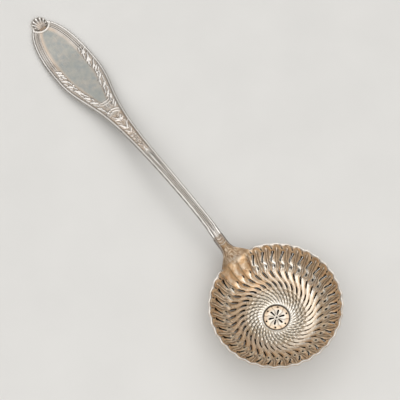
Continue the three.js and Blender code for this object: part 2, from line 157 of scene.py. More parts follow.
def make_piece(name, bm, points, marks, materials, nodes):
    """Move the bmesh's vertices to points in millimetres, and hand the piece to the frame."""
    for vertex, point in zip(bm.verts, points):
        vertex.co = point * MM
    bmesh.ops.translate(bm, verts=bm.verts, vec=(MOUTH_X * MM, 0, 0))
    for edge in bm.edges:
        edge.smooth = not edge.is_manifold or edge.calc_face_angle(0.0) < SHARP_ANGLE
    for face in bm.faces:
        face.smooth = True
    mesh = bpy.data.meshes.new(name)
    bm.to_mesh(mesh)
    open_edges = sum(not edge.is_manifold for edge in bm.edges)
    volume = bm.calc_volume() / MM**3
    bm.free()
    for mark, values in marks.items():
        stored = mesh.attributes.new(mark, "FLOAT", "POINT")
        stored.data.foreach_set("value", np.clip(values, 0, 1))
    for material in materials:
        mesh.materials.append(material)
    piece = add_object(name, mesh)
    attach(piece, "root")
    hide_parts(*nodes)
    triangles = sum(len(polygon.vertices) - 2 for polygon in mesh.polygons)
    print(f"{name}: {triangles} triangles, {open_edges} open edges, {volume:.1f} mm3")
    return piece


print(f"a bend sharper than {math.degrees(SHARP_ANGLE):.0f} degrees stays a crisp edge")


# %% [markdown]
# ## The two metals
# Silver gilt is a breath of gold over silver. It stays tan and dull where nothing touches it,
# wears to pale champagne on the bowl's floor, and shows bare bright silver at the rim. Both
# metals keep brown tarnish in the hollows, and that makes struck work readable. On the gilt the
# same brown is also painted shade round the slots, at the rosette's seam and in the neck's throat,
# and the slots' sawn walls are painted nearly black with shade. Each pattern is given as so many
# to a metre, from its real size: patches of wear about 7 mm wide, mottling of 2 mm and a grain of
# 1 mm, the finest that this picture can show.

# %% Colours and nodes
def colour(hex_code):
    """A colour picked on the screen, as the linear values that Blender's sockets take."""
    channels = [int(hex_code[i : i + 2], 16) / 255 for i in (1, 3, 5)]
    linear = [c / 12.92 if c <= 0.04045 else ((c + 0.055) / 1.055) ** 2.4 for c in channels]
    return (*linear, 1.0)


def add_node(tree, kind, settings=None, **inputs):
    """Add a shader node, set its properties, and give its inputs values, colours or nodes."""
    node = tree.nodes.new("ShaderNode" + kind)
    for key, value in (settings or {}).items():
        setattr(node, key, value)
    for key, value in inputs.items():
        socket = next(s for s in node.inputs if key in (s.identifier, s.name.replace(" ", "_")))
        if isinstance(value, str):
            value = colour(value)
        if isinstance(value, bpy.types.Node):
            value = next(s for s in value.outputs if s.enabled)
        if isinstance(value, bpy.types.NodeSocket):
            tree.links.new(value, socket)
        else:
            socket.default_value = value
    return node


def new_material(name):
    material = bpy.data.materials.new(name)
    material.use_nodes = True
    material.node_tree.nodes.clear()
    return material, material.node_tree


LAYER = {"data_type": "RGBA"}
print("tan gilding in linear values:", [round(c, 3) for c in colour("#dfb689")[:3]])


# %% Patches of wear
def cloud(tree, per_metre, low, high, detail=3.0, stretch=(1.0, 1.0, 1.0), turn=0.0):
    """Soft random patches from 0 to 1, per_metre of them to a metre, drawn out along one way."""
    place = add_node(tree, "TexCoord").outputs["Object"]
    mapped = add_node(tree, "Mapping", Vector=place, Scale=stretch, Rotation=(0, 0, turn))
    noise = add_node(tree, "TexNoise", Vector=mapped, Scale=per_metre, Detail=detail)
    return add_node(tree, "MapRange", Value=noise, From_Min=low, From_Max=high)


WEAR, MOTTLING, GRAIN = 140, 480, 900
for pattern, per_metre in (("wear", WEAR), ("mottling", MOTTLING), ("grain", GRAIN)):
    print(f"{pattern} of the gilding: about {1000 / per_metre:.1f} mm across")


# %% Worn silver gilt, for the bowl
# Fine lines are chased along the petals' flanks: pale on their tops, and dark between.
FLANK_LINES = 1.5
LARGER, TIMES = {"operation": "MAXIMUM"}, {"operation": "MULTIPLY"}
SINE, TIMES_PLUS = {"operation": "SINE"}, {"operation": "MULTIPLY_ADD"}
DULL, WORN_SMOOTH, TARNISHED = (0.34, 0.46), -0.12, 0.75
GRAIN_DEPTH, LINE_DEPTH = 0.00009, 0.00008


def worn_gilt():
    material, tree = new_material("worn silver gilt")
    rubbed, bare, hollow, flank, lined = (
        add_node(tree, "Attribute", {"attribute_name": name}).outputs["Fac"]
        for name in ("rubbed", "bare", "hollow", "flank", "lined")
    )
    patches, specks = cloud(tree, WEAR, 0.35, 0.65), cloud(tree, GRAIN, 0.35, 0.65, 2.0)
    thinning, mottle = cloud(tree, 330, 0.48, 0.72), cloud(tree, MOTTLING, 0.3, 0.7)
    tan, champagne, silver, brown = (
        add_node(tree, "Mix", LAYER, Factor_Float=cover, A_Color=a, B_Color=b)
        for cover, a, b in (
            (mottle, "#dfb689", "#f4d9b5"),
            (patches, "#e8dfd0", "#f5f0e7"),
            (patches, "#ccc4ba", "#e2dcd4"),
            (specks, "#2e1c0e", "#5c3f24"),
        )
    )

    phase = add_node(tree, "Math", TIMES, Value=flank, Value_001=FLANK_LINES * math.tau)
    wave = add_node(tree, "Math", SINE, Value=phase)
    lines = add_node(tree, "Math", TIMES, Value=wave, Value_001=lined)
    tops = add_node(tree, "MapRange", Value=lines, From_Min=0.0, From_Max=0.8, To_Max=0.85)
    gaps = add_node(tree, "MapRange", Value=lines, From_Min=-0.4, From_Max=-1.0, To_Max=0.35)

    # Gold thins to champagne where it is rubbed, on the lines' tops and in odd spots
    thin_spots = add_node(tree, "MapRange", Value=thinning, To_Max=0.6)
    worn = add_node(tree, "Math", LARGER, Value=rubbed, Value_001=tops)
    worn = add_node(tree, "Math", LARGER, Value=worn, Value_001=thin_spots)
    gold = add_node(tree, "Mix", LAYER, Factor_Float=worn, A_Color=tan, B_Color=champagne)
    metal = add_node(tree, "Mix", LAYER, Factor_Float=bare, A_Color=gold, B_Color=silver)

    # Tarnish lies in the hollows: brown, and olive where the hollow itself is rubbed.
    # The hollow mark also carries painted shade: round the slots, at the rosette's seam, in the throat.
    tarnish_and_shade = add_node(tree, "Mix", LAYER, Factor_Float=rubbed, A_Color=brown, B_Color="#5d564b")
    speckled = add_node(tree, "MapRange", Value=specks, To_Min=0.8)
    deep = add_node(tree, "Math", TIMES, Value=hollow, Value_001=speckled)
    deep = add_node(tree, "Math", LARGER, Value=deep, Value_001=gaps)
    skin = add_node(tree, "Mix", LAYER, Factor_Float=deep, A_Color=metal, B_Color=tarnish_and_shade)

    dull = add_node(tree, "MapRange", Value=specks, To_Min=DULL[0], To_Max=DULL[1])
    polish = add_node(tree, "Math", TIMES_PLUS, Value=rubbed, Value_001=WORN_SMOOTH, Value_002=dull)
    rough = add_node(tree, "MapRange", Value=hollow, To_Min=polish, To_Max=TARNISHED)
    grain = add_node(tree, "Bump", Strength=0.55, Distance=GRAIN_DEPTH, Height=specks)
    relief = add_node(tree, "Bump", Strength=0.5, Distance=LINE_DEPTH, Height=lines, Normal=grain)
    look = {"Base_Color": skin, "Roughness": rough, "Normal": relief}
    shader = add_node(tree, "BsdfPrincipled", Metallic=1.0, **look)
    add_node(tree, "OutputMaterial", Surface=shader)
    return material


gilt = worn_gilt()
print(gilt.name, "takes", len(gilt.node_tree.nodes), "nodes")

# %% Struck silver, for the handle
# The die leaves bright tops. The plate in the oval is duller and cooler, with fine cleaning
# scratches slantwise across it, and warm tarnish stays round it and under the leaves.
SCRATCH_DEPTH, SCRATCH_SLANT, SCRATCH_STRETCH = 0.00003, math.radians(35), (1.0, 14.0, 1.0)


def struck_silver():
    material, tree = new_material("struck silver")
    reserve, warm, bare, hollow = (
        add_node(tree, "Attribute", {"attribute_name": name}).outputs["Fac"]
        for name in ("reserve", "warm", "bare", "hollow")
    )
    patches, mottle = cloud(tree, 150, 0.3, 0.7, 4.0), cloud(tree, 420, 0.4, 0.7, 5.0)
    specks = cloud(tree, 1100, 0.35, 0.65, 2.0)
    body, cool, brown = (
        add_node(tree, "Mix", LAYER, Factor_Float=cover, A_Color=a, B_Color=b)
        for cover, a, b in (
            (patches, "#b1aaa1", "#c4bfb9"),
            (patches, "#9c9e98", "#aba59c"),
            (specks, "#3f342a", "#655747"),
        )
    )
    skin = add_node(tree, "Mix", LAYER, Factor_Float=mottle, A_Color=cool, B_Color="#949795")
    skin = add_node(tree, "Mix", LAYER, Factor_Float=reserve, A_Color=body, B_Color=skin)
    for cover, layer in ((warm, "#cbb299"), (bare, "#ece7e1"), (hollow, brown)):
        skin = add_node(tree, "Mix", LAYER, Factor_Float=cover, A_Color=skin, B_Color=layer)
    scratches = cloud(tree, 260, 0.3, 0.7, 4.0, SCRATCH_STRETCH, SCRATCH_SLANT)
    rough = add_node(tree, "MapRange", Value=scratches, To_Min=0.26, To_Max=0.42)
    relief = add_node(tree, "Bump", Strength=0.2, Distance=SCRATCH_DEPTH, Height=scratches)
    look = {"Base_Color": skin, "Roughness": rough, "Normal": relief}
    shader = add_node(tree, "BsdfPrincipled", Metallic=1.0, **look)
    add_node(tree, "OutputMaterial", Surface=shader)
    return material


silver = struck_silver()
print(silver.name, "takes", len(silver.node_tree.nodes), "nodes")

# %% Sawn edges, tarnished and painted nearly black with shade, for the walls of the slots
# No cloth reaches inside a slot, so its sawn walls are tarnished. Their near black is also
# painted shade, for the dark inside of each slot.
def sawn_edges():
    material, tree = new_material("sawn edge, tarnish and painted shade")
    specks, black, umber = cloud(tree, 1500, 0.3, 0.7, 2.0), "#1d150e", "#33261a"
    skin = add_node(tree, "Mix", LAYER, Factor_Float=specks, A_Color=black, B_Color=umber)
    shader = add_node(tree, "BsdfPrincipled", Base_Color=skin, Metallic=1.0, Roughness=0.6)
    add_node(tree, "OutputMaterial", Surface=shader)
    return material


sawn = sawn_edges()
print(sawn.name, "takes", len(sawn.node_tree.nodes), "nodes")

# %% [markdown]
# ## The bowl's wall
# The bowl is raised from a flat disc, and its wall follows one steep curve from floor to rim.
# The mouth leans towards the handle, so that the spoon rests level on the table.

# %% The wall's measures
RIM_RADIUS, BOWL_DEPTH, BOWL_CURVE = 27.6, 15.8, 3.5
FLOOR_WALL, RIM_WALL, RIM_ROUND = 1.2, 0.8, 0.3
BOWL_INNER = RIM_RADIUS - RIM_WALL
BOWL_TILT, MOUTH_HEIGHT = math.radians(11.3), 17.975
SEAT_RADIUS, SEAT_DROP, HOLE_RADIUS = 5.8, 0.7, 4.9
PETALS, PLAIN_PETALS = 36, 3
PETAL_TURN, FIRST_PETAL = math.tau / PETALS, math.radians(4.5)
print(f"a petal is {PETAL_TURN * RIM_RADIUS:.1f} mm wide at the rim")


# %% The wall's curve and its swirl
def from_seat(radius):
    """0 at the rosette's seat and 1 at the rim."""
    return (radius - SEAT_RADIUS) / (BOWL_INNER - SEAT_RADIUS)


# How far the petals are turned at each radius, in degrees: straight at the rim, then ever steeper
petal_flow = smooth_line(
    [(4.0, -62), (5.8, -54), (7.5, -46), (9.2, -38), (10.4, -32), (11.3, -27), (12.7, -21.8)]
    + [(14.3, -17.2), (15, -14.7), (16, -10.5), (17, -6.8), (18, -4.3), (19, -2.2), (20, -1.2)]
    + [(21, -0.7), (23, -0.2), (25, 0.0), (28, 0.01)]
)


def lean(radius, angle, height):
    """From the bowl's own round frame to the spoon's: lean the bowl and lift it off the table."""
    x, y = radius * np.cos(angle), radius * np.sin(angle)
    leaning_x = x * math.cos(BOWL_TILT) + height * math.sin(BOWL_TILT)
    leaning_z = height * math.cos(BOWL_TILT) - x * math.sin(BOWL_TILT)
    return np.stack([leaning_x, y, leaning_z + MOUTH_HEIGHT], -1)


def wall_point(radius, angle, lift, beyond=0.0):
    """A point lifted off the wall towards the inside, or moved beyond it along the wall."""
    share = radius / BOWL_INNER
    height = BOWL_DEPTH * (share**BOWL_CURVE - 1)
    slope = np.arctan(BOWL_CURVE * BOWL_DEPTH * share ** (BOWL_CURVE - 1) / BOWL_INNER)
    out = radius - lift * np.sin(slope) + beyond * np.cos(slope)
    return lean(out, angle, height + lift * np.cos(slope) + beyond * np.sin(slope))


print("the petals turn", round(-petal_flow(SEAT_RADIUS)), "degrees from the rim to the seat")

# %% [markdown]
# ## The handle's outline
# The neck, stem and cartouche share one outline and one arched line, so these come before the
# bowl: the bowl's blank carries a tab that becomes the neck.

# %% The handle's measures
RIM_X = RIM_RADIUS * math.cos(BOWL_TILT)
RIM_Z = MOUTH_HEIGHT - RIM_RADIUS * math.sin(BOWL_TILT)
SEAM_X, CROWN_X, OVAL_X, REST_X = RIM_X + 10, RIM_X + 25, RIM_X + 123.8, RIM_X + 132.8
THROAT_X, THROAT_Z, NECK_START_X = 22.918, 8.704, 20.118
NECK_HALF, STEM_HALF, OVAL_HALF = 2.2, 2.0, 11.25
NECK_THICKNESS, STEM_THICKNESS, OVAL_THICKNESS = 2.8, 3.2, 2.4
NECK_ANGLE, SCARF_SLOPE = math.radians(15), math.radians(40)
CROWN_RISE = 3.7
CROWN_Z = RIM_Z + CROWN_RISE
TIP_REACH, STEM_REACH, FULLNESS = 30.2, 27.8, 2.2
SHOULDER_X, FINIAL_X, FOOT_X, FINIAL_RADIUS, SEAM = 178.754, 180.304, 176.554, 4.05, 0.3
FILLET = (RIM_RADIUS * math.sin(NECK_ANGLE) - NECK_HALF) / (1 - math.sin(NECK_ANGLE))
FILLET_X = (RIM_RADIUS + FILLET) * math.cos(NECK_ANGLE)
print(f"the neck flares into the rim with curves of {FILLET:.1f} mm radius")

# %% The handle's arch and its thickness
# Shares of the way from the crown to where the cartouche rests, and of the height that is left
ARCH = [(0, 1), (0.17, 0.92), (0.35, 0.71), (0.54, 0.46), (0.72, 0.23), (0.9, 0.06), (1, 0)]
arch_points = [
    (blend(CROWN_X, REST_X, along), blend(OVAL_THICKNESS, CROWN_Z, up)) for along, up in ARCH
]
top_line = smooth_line(
    [
        (NECK_START_X, THROAT_Z - 0.4 * NECK_THICKNESS),
        (THROAT_X, THROAT_Z),
        (RIM_X + 8, RIM_Z),
        (RIM_X + 13, RIM_Z + 0.55 * CROWN_RISE),
        (RIM_X + 18, RIM_Z + 0.86 * CROWN_RISE),
        *arch_points,
        (TIP_FROM_MOUTH, OVAL_THICKNESS),
    ]
)
thickness_line = smooth_line(
    [
        (NECK_START_X, 0.5 * NECK_THICKNESS),
        (THROAT_X, 0.55 * NECK_THICKNESS),
        (RIM_X + 8, NECK_THICKNESS),
        (CROWN_X, STEM_THICKNESS),
        (blend(CROWN_X, OVAL_X, 0.5), STEM_THICKNESS),
        (OVAL_X, OVAL_THICKNESS),
        (TIP_FROM_MOUTH, OVAL_THICKNESS),
    ]
)
SEAM_MIDDLE = float(top_line(SEAM_X) - 0.5 * thickness_line(SEAM_X))
print(f"the crown of the arch stands {CROWN_Z:.1f} mm over the table")


# %% The handle's outline from above
def half_width(x):
    """A neck that flares into the rim, a slender stem, a bell curve, and then half an oval."""
    x = np.asarray(x, float)
    past = np.clip((x - OVAL_X) / TIP_REACH, 0, 1)
    oval = OVAL_HALF * (1 - past**FULLNESS) ** (1 / FULLNESS)
    stem = blend(NECK_HALF, STEM_HALF, ramp(x, SEAM_X, CROWN_X))
    before = np.clip(OVAL_X - x, 0, None) / STEM_REACH
    bell = (OVAL_HALF - stem) / (1 + before**3)
    into = np.clip(FILLET_X - x, 0, FILLET * math.cos(NECK_ANGLE))
    fillet = FILLET - np.sqrt(FILLET**2 - into**2)
    return np.where(x > OVAL_X, oval, stem + bell + fillet)


print(f"half width at the middle of the stem: {float(half_width(70.0)):.2f} mm")

# %% The neck's underside and the stem's struck face
FACE_DROP, EDGE_THREAD = 0.4, 0.62


def throat_under(x, y):
    """The neck's underside, which follows the solid model's."""
    inside = np.clip((SEAM_X - x) / (SEAM_X - THROAT_X), 0, 1)
    rim_at_fillet = MOUTH_HEIGHT - RIM_RADIUS * math.cos(NECK_ANGLE) * math.sin(BOWL_TILT)
    rise = (rim_at_fillet - THROAT_Z) * inside**1.3
    return top_line(x) + rise * (y / half_width(x)) ** 2 - thickness_line(x)


def rib_half(x):
    """Half the width of the rib along the stem, which broadens towards the husk."""
    return blend(0.5, 0.95, ramp(x, 70, 84))


def stem_face(x, y, from_side):
    """How far the stem's edge threads and middle rib stand over its sunk face."""
    rib = bump(y, rib_half(x)) * band(x, (37.2, 39.5), (85, 89))
    return FACE_DROP * np.maximum(bump(from_side - EDGE_THREAD, EDGE_THREAD), rib)


print(f"the stem's face is struck {FACE_DROP} mm below its threads and rib")

# %% [markdown]
# ## Pierce the flat blank
# Piercing is done flat, with a saw and drills, one petal at a time. A grid stands for one petal:
# its middle columns open into the slots of the crests, and its sides draw back where a slot lies
# in the groove between two petals. The petal is then spun round to make the whole disc.


# %% A slot with rounded ends
# A slot is its outer and inner radius, how blunt its ends are, and half its width at shares of
# its length. Points stand close together at its ends, so that they come out round.
END_ROUND, CLOSE_STEPS, LEAST_GAP = 0.3, (0, 0.07, 0.2), 0.11


def slot_width(radius, slot):
    """Half the slot's width at a radius, and nothing outside it."""
    outer, inner, blunt, halves = slot
    along = (outer - radius) / (outer - inner)
    if not -1e-6 <= along <= 1 + 1e-6:
        return 0.0
    half = float(np.interp(along, *zip(*halves)))
    from_end = max(0.0, min(outer - radius, radius - inner))
    rounding = math.sqrt(max(0.0, 1 - (1 - min(from_end / END_ROUND, 1)) ** 2))
    return half * max(rounding, blunt)


def widest(radius, slots):
    return max((slot_width(radius, slot) for slot in slots), default=0.0)


def rows_with_ends(rows, slots):
    """Add close rows at each slot's ends, and drop the plain rows that crowd them."""
    ends = [(slot[0], -1) for slot in slots] + [(slot[1], 1) for slot in slots]
    close = sorted({round(end + side * step, 4) for end, side in ends for step in CLOSE_STEPS})
    plain = [row for row in rows if min(abs(row - other) for other in close) > LEAST_GAP]
    return np.array(sorted([*plain, *close]))


print("rows close to a slot's end:", CLOSE_STEPS, "mm from it")

# %% [markdown]
# ## The bowl's slots
# From the rim inwards: tiny holes, funnel-shaped slots and round holes on the crests, then two
# rings of slanting slots in the grooves. The three petals by the neck are plain in the outer
# rings. Each slot narrows a little towards the outside.

# %% Rings of slots
FUNNEL = [(0.0, 0.62), (0.1, 0.6), (0.22, 0.4), (0.45, 0.33), (0.75, 0.24), (1.0, 0.12)]
WEDGE, PINHOLE = (25.12, 22.55, 0.6, FUNNEL), (26.28, 25.84, 0.5, [(0.0, 0.2)])
ROUND_HOLE = (21.6, 20.84, 0.5, [(0.0, 0.31)])
LONG_SLOT = (19.45, 16.95, 0.0, [(0.0, 0.46), (0.4, 0.45), (1.0, 0.3)])
SHORT_SLOT = (15.5, 13.5, 0.0, [(0.0, 0.5), (0.4, 0.48), (1.0, 0.3)])
ON_CRESTS, IN_GROOVES = [WEDGE, PINHOLE, ROUND_HOLE], [LONG_SLOT, SHORT_SLOT]
ROW_SPACING, RIM_ROW = 0.31, BOWL_INNER - 0.1
ON_RIM = RIM_ROW - 0.01

plain_rows = np.linspace(SEAT_RADIUS, RIM_ROW, round((RIM_ROW - SEAT_RADIUS) / ROW_SPACING) + 1)
wall_rows = rows_with_ends(plain_rows[1:-1], ON_CRESTS + IN_GROOVES)
bowl_rows = np.array([HOLE_RADIUS, SEAT_RADIUS - 0.02, SEAT_RADIUS, *wall_rows, RIM_ROW])
print(len(bowl_rows), "rows from the rosette's seat to the rim")

# %% One pierced petal
PETAL_FLANK = [0.0, 0.09, 0.22, 0.42, 0.64, 0.86, 1.0]
CREST_HALF, FULL_CREST_AT = 0.35, 12


def pierced_petal(turn, radii, crest_slots, groove_slots, flank):
    """One flat petal with its crest along x, and the faces beside it cut out in the slots."""
    middle = len(flank)
    columns, rows = 2 * middle, len(radii) - 1
    bm, cut = flat_grid(columns, rows), []
    for face in bm.faces:
        centre = face.calc_center_median()
        column, row = (centre.x + 1) / 2 * columns, int((centre.y + 1) / 2 * rows)
        radius = 0.5 * (radii[row] + radii[row + 1])
        if abs(column - middle) < 1 and widest(radius, crest_slots) > 0:
            cut.append(face)
    bmesh.ops.delete(bm, geom=cut, context="FACES")
    for vertex in bm.verts:
        column = round((vertex.co.x + 1) / 2 * columns)
        radius = radii[round((vertex.co.y + 1) / 2 * rows)]
        side = np.sign(column - middle)
        towards_crest = flank[min(column, columns - column) if side else middle - 1]
        groove = turn / 2 - widest(radius, groove_slots) / radius
        plain_crest = CREST_HALF * min(1.0, radius / FULL_CREST_AT)
        crest = (widest(radius, crest_slots) or plain_crest) / radius
        angle = side * blend(groove, crest, towards_crest)
        vertex.co = (radius * math.cos(angle), radius * math.sin(angle), 0.0)
    return bm


sample = pierced_petal(PETAL_TURN, bowl_rows, ON_CRESTS, IN_GROOVES, PETAL_FLANK)
print("one pierced petal:", len(sample.faces), "faces")
sample.free()

# %% Spin pierced and plain petals into one flat disc
def spin_petals(bm, turn, copies):
    """Repeat a petal round the middle."""
    geometry = bm.verts[:] + bm.edges[:] + bm.faces[:]
    upright = {"axis": (0, 0, 1), "cent": (0, 0, 0), "dvec": (0, 0, 0), "use_duplicate": True}
    bmesh.ops.spin(bm, geom=geometry, angle=turn * (copies - 1), steps=copies - 1, **upright)


def petals_round(crest_slots, first, count):
    petal = pierced_petal(PETAL_TURN, bowl_rows, crest_slots, IN_GROOVES, PETAL_FLANK)
    start = Matrix.Rotation(first * PETAL_TURN, 3, "Z")
    bmesh.ops.rotate(petal, verts=petal.verts, cent=(0, 0, 0), matrix=start)
    spin_petals(petal, PETAL_TURN, count)
    return petal


def join(bm, other):
    """Take in another bmesh's geometry."""
    mesh = bpy.data.meshes.new("joined")
    other.to_mesh(mesh)
    bm.from_mesh(mesh)
    bpy.data.meshes.remove(mesh)
    other.free()


def weld(bm):
    """Join the petals where they meet, with all faces turned one way."""
    bmesh.ops.remove_doubles(bm, verts=bm.verts, dist=0.002)
    bmesh.ops.recalc_face_normals(bm, faces=bm.faces)


blank = petals_round(ON_CRESTS, 2, PETALS - PLAIN_PETALS)
join(blank, petals_round([ROUND_HOLE], -1, PLAIN_PETALS))
weld(blank)
print("flat blank:", len(blank.faces), "faces")

# %% [markdown]
# ## Give the blank its thickness, a round rim and a tab
# Solidify turns the sheet into a plate one unit thick, and that unit later becomes the wall's true
# thickness. The rim's edge is divided so that it can be rounded, and part of it is extruded
# outwards, ring by ring, into the tab that becomes the neck.

# %% Thickness and the walls of the slots
def flat_radius(vertex):
    return math.hypot(vertex.co.x, vertex.co.y)


def stands_up(item):
    """True for an edge or face that joins the plate's two sides."""
    heights = [vertex.co.z for vertex in item.verts]
    return max(heights) - min(heights) > 0.5


def thicken(bm, sawn_below=0.0):
    """Make the sheet a plate, and give the walls of its slots the second material."""
    bmesh.ops.solidify(bm, geom=bm.faces[:], thickness=1.0)
    for face in bm.faces:
        if stands_up(face) and flat_radius(face.verts[0]) < sawn_below:
            face.material_index = 1


thicken(blank, ON_RIM)
heights = read_points(blank)[:, 2]
print("plate from z", heights.min().round(3), "to", heights.max().round(3))

# %% Rim and neck tab
NECK_TAB = 10.0
TAB_ROWS = [*np.linspace(0, 0.42, 17)[1:], *np.linspace(0.42, 1.0, 38)[1:]]
rim_edges = [e for e in blank.edges if stands_up(e) and flat_radius(e.verts[0]) > ON_RIM]
bmesh.ops.subdivide_edges(blank, edges=rim_edges, cuts=3)


def spoon_turn(turn):
    """The angle from the handle's direction, once the petals are turned to their places."""
    return (turn + FIRST_PETAL + math.pi) % math.tau - math.pi


def on_tab(face):
    return all(
        flat_radius(vertex) > ON_RIM
        and abs(spoon_turn(math.atan2(vertex.co.y, vertex.co.x))) < NECK_ANGLE + 0.01
        for vertex in face.verts
    )


tab = [face for face in blank.faces if on_tab(face)]
reached = RIM_ROW
for share in TAB_ROWS:
    grown = bmesh.ops.extrude_face_region(blank, geom=tab)["geom"]
    bmesh.ops.delete(blank, geom=tab, context="FACES")
    tab = [item for item in grown if isinstance(item, bmesh.types.BMFace)]
    new_verts = [item for item in grown if isinstance(item, bmesh.types.BMVert)]
    ring = RIM_ROW + share * NECK_TAB
    bmesh.ops.scale(blank, vec=(ring / reached, ring / reached, 1), verts=new_verts)
    reached = ring
open_edges = sum(not edge.is_manifold for edge in blank.edges)
print("blank with its tab:", len(blank.faces), "faces, open edges", open_edges)

# %% [markdown]
# ## Raise the blank
# Every vertex of the flat plate has a radius, an angle and a depth. Functions turn those into its
# place in the bowl: the wall's curve, the swirl, the petals' relief, the rosette's seat and the
# channel of the neck. This is what the smith's hammer and punches do, all at once.

# %% Relief of the petals
CREST_HEIGHT, PLAIN_CREST_HEIGHT = 0.75, 0.62
ROPE_LIFT, ROPE_SWING, ROPE_CUT, ROPE_PITCH = 0.26, 0.7, 0.1, 1.55
BLADE_LEAN, SPINE_HEIGHT, SIDE_LINE, SIDE_CUT = 0.42, 0.3, -0.52, 0.14
FIELD_CUT, TONGUE_HEIGHT, LOBE_HEIGHT, RIB_HEIGHT = 0.3, 0.1, 0.22, 0.56

# How far the crests with their slots are turned aside, in degrees
slot_shift = smooth_line(
    [(19.4, 0), (20.8, -1.8), (21.7, -1.8), (22.6, 1.2), (25.1, -1.2), (26.3, 0), (27, 0.01)]
)
# Half the width of the tongue chased on each petal, where 1 is half the petal
petal_tongue = smooth_line(
    [(5.0, 0.63), (19.0, 0.62), (21.0, 0.56), (22.5, 0.46), (24.0, 0.26), (25.2, 0.1), (28, 0.09)]
)


def side_line(radius, across, width):
    """The line chased down one flank of each petal."""
    return bump(across - SIDE_LINE, width) * band(radius, (15.5, 17.5), (20.5, 22))


def petal_relief(radius, across, petal, plain):
    """Height of the petals over the smooth wall. Across runs from -1 to 1 between two grooves."""
    share = np.clip(from_seat(radius), 0, 1)
    plainness = np.where(plain, ramp(share, 0.65, 0.75), 0.0)
    height = CREST_HEIGHT * np.sin(0.8 * np.pi * share)
    height *= blend(1.0, PLAIN_CREST_HEIGHT / CREST_HEIGHT, plainness)
    height += ROPE_LIFT * band(radius, (5.9, 7.0), (12, 16))

    # Low down the petals lean over like blades, and are chased into ropes
    in_ropes = band(radius, (6.2, 7.4), (12, 13.6))
    rope = math.tau * radius / ROPE_PITCH + 1.1 * np.sin(5.3 * petal)
    skew = BLADE_LEAN * band(radius, (10.5, 14.5), (20, 22.4))
    skew += ROPE_SWING * in_ropes * np.arcsin(np.sin(rope)) * 2 / np.pi
    blade = (across - skew) / np.where(across > skew, 1 - skew, 1 + skew)
    edged, rolling = 1 - abs(blade) ** 1.7, np.cos(0.5 * np.pi * across) ** 2
    relief = height * blend(edged, rolling, ramp(radius, 23, 26.2))
    relief *= 1 - 0.1 * ramp(radius, 24.5, 26.6)
    relief += SPINE_HEIGHT * bump(blade, 0.32) * band(radius, (7, 9), (19, 23))
    relief -= ROPE_CUT * in_ropes * (1 + np.cos(rope))
    relief -= SIDE_CUT * side_line(radius, across, 0.12)

    # Round the wedges: a sunk field, tongues, lobes and thin ribs, left out on the plain petals
    tongue = np.clip(1 - (across / petal_tongue(radius)) ** 2, 0, 1) ** 0.7
    gap = 1 - abs(across)
    lobes = bump(radius - 25.9, 0.75) * bump(across, 0.55)
    lobes -= bump(radius - 26.2, 0.6) * bump(gap, 0.35)
    carved = TONGUE_HEIGHT * tongue * band(radius, (16.5, 22), (24, 25)) + LOBE_HEIGHT * lobes
    carved -= FIELD_CUT * bump(across, 0.62) * band(radius, (22.4, 24.2), (25.1, 25.9))
    carved += RIB_HEIGHT * bump(gap, 0.18) * band(radius, (19.8, 21.4), (25.2, 26.2))
    return relief + carved * ~plain


print(f"crests stand up to {CREST_HEIGHT + SPINE_HEIGHT:.2f} mm over the grooves")

# %% The neck's hollow top
low_part = [(NECK_START_X, 9.3), (24.8, 10.8), (30.0, 11.8)]
throat_line = smooth_line([*low_part, (RIM_X + 8, RIM_Z), (RIM_X + 13, RIM_Z + 2.1)])
THROAT_SIDE_X = RIM_RADIUS * math.cos(NECK_ANGLE)
side_top = MOUTH_HEIGHT - THROAT_SIDE_X * math.sin(BOWL_TILT) + 0.2
SIDE_RISE = float(side_top - throat_line(THROAT_SIDE_X))


def throat_top(x, y):
    """The neck's top: down to a brink just inside the rim, and hollow from side to side."""
    middle = blend(throat_line(np.minimum(x, SEAM_X)), top_line(x), ramp(x, 31, 36))
    inside = np.clip((SEAM_X - x) / (SEAM_X - THROAT_SIDE_X), 0, 1.3)
    return middle + SIDE_RISE * inside**1.3 * (y / half_width(x)) ** 2


print(f"the neck's sides stand {SIDE_RISE:.1f} mm over its middle at the rim")


# %% The leaf and strokes chased on the neck
def neck_leaf(x, y):
    """How far inside the leaf a point lies, and the rise of the leaf's veins."""
    widening = np.clip((32.6 - x) / 6.5, 0, 1)
    reach = 0.6 + 4.6 * widening**0.8 + 0.25 * np.sin(2.6 * x)
    ends = ramp(32.6 - x, 0, 0.5) * ramp(x, 25.4, 26.6)
    curl = 0.55 * np.sin(1.7 * x + 1.1 * y) + 0.35 * np.sin(2.9 * y - 0.8 * x)
    veins = 0.5 + 0.5 * np.cos(math.tau * (abs(y) + 0.9 * x + curl) / 1.6)
    return np.clip(1 - (abs(y) / reach) ** 4, 0, 1) * ends, veins


STROKES = ((37.7, 1.0), (36.4, 1.2), (35.1, 1.5), (33.8, 1.9))


def neck_strokes(x, y):
    """Four short strokes above the leaf, where the stem opens into the throat."""
    return sum(
        bump(x - at - 0.35 * abs(y), 0.42) * (1 - ramp(abs(y), 0.7 * reach, reach))
        for at, reach in STROKES
    )


def neck_relief(x, y):
    inside, veins = neck_leaf(x, y)
    return 0.4 * neck_strokes(x, y) + inside * (0.12 + 0.16 * veins)


print(len(STROKES), "strokes, the longest", 2 * STROKES[-1][1], "mm long")

# %% The wall with its seat, and the channel of the neck
SMOOTH_BACK = (0.34, 0.53)


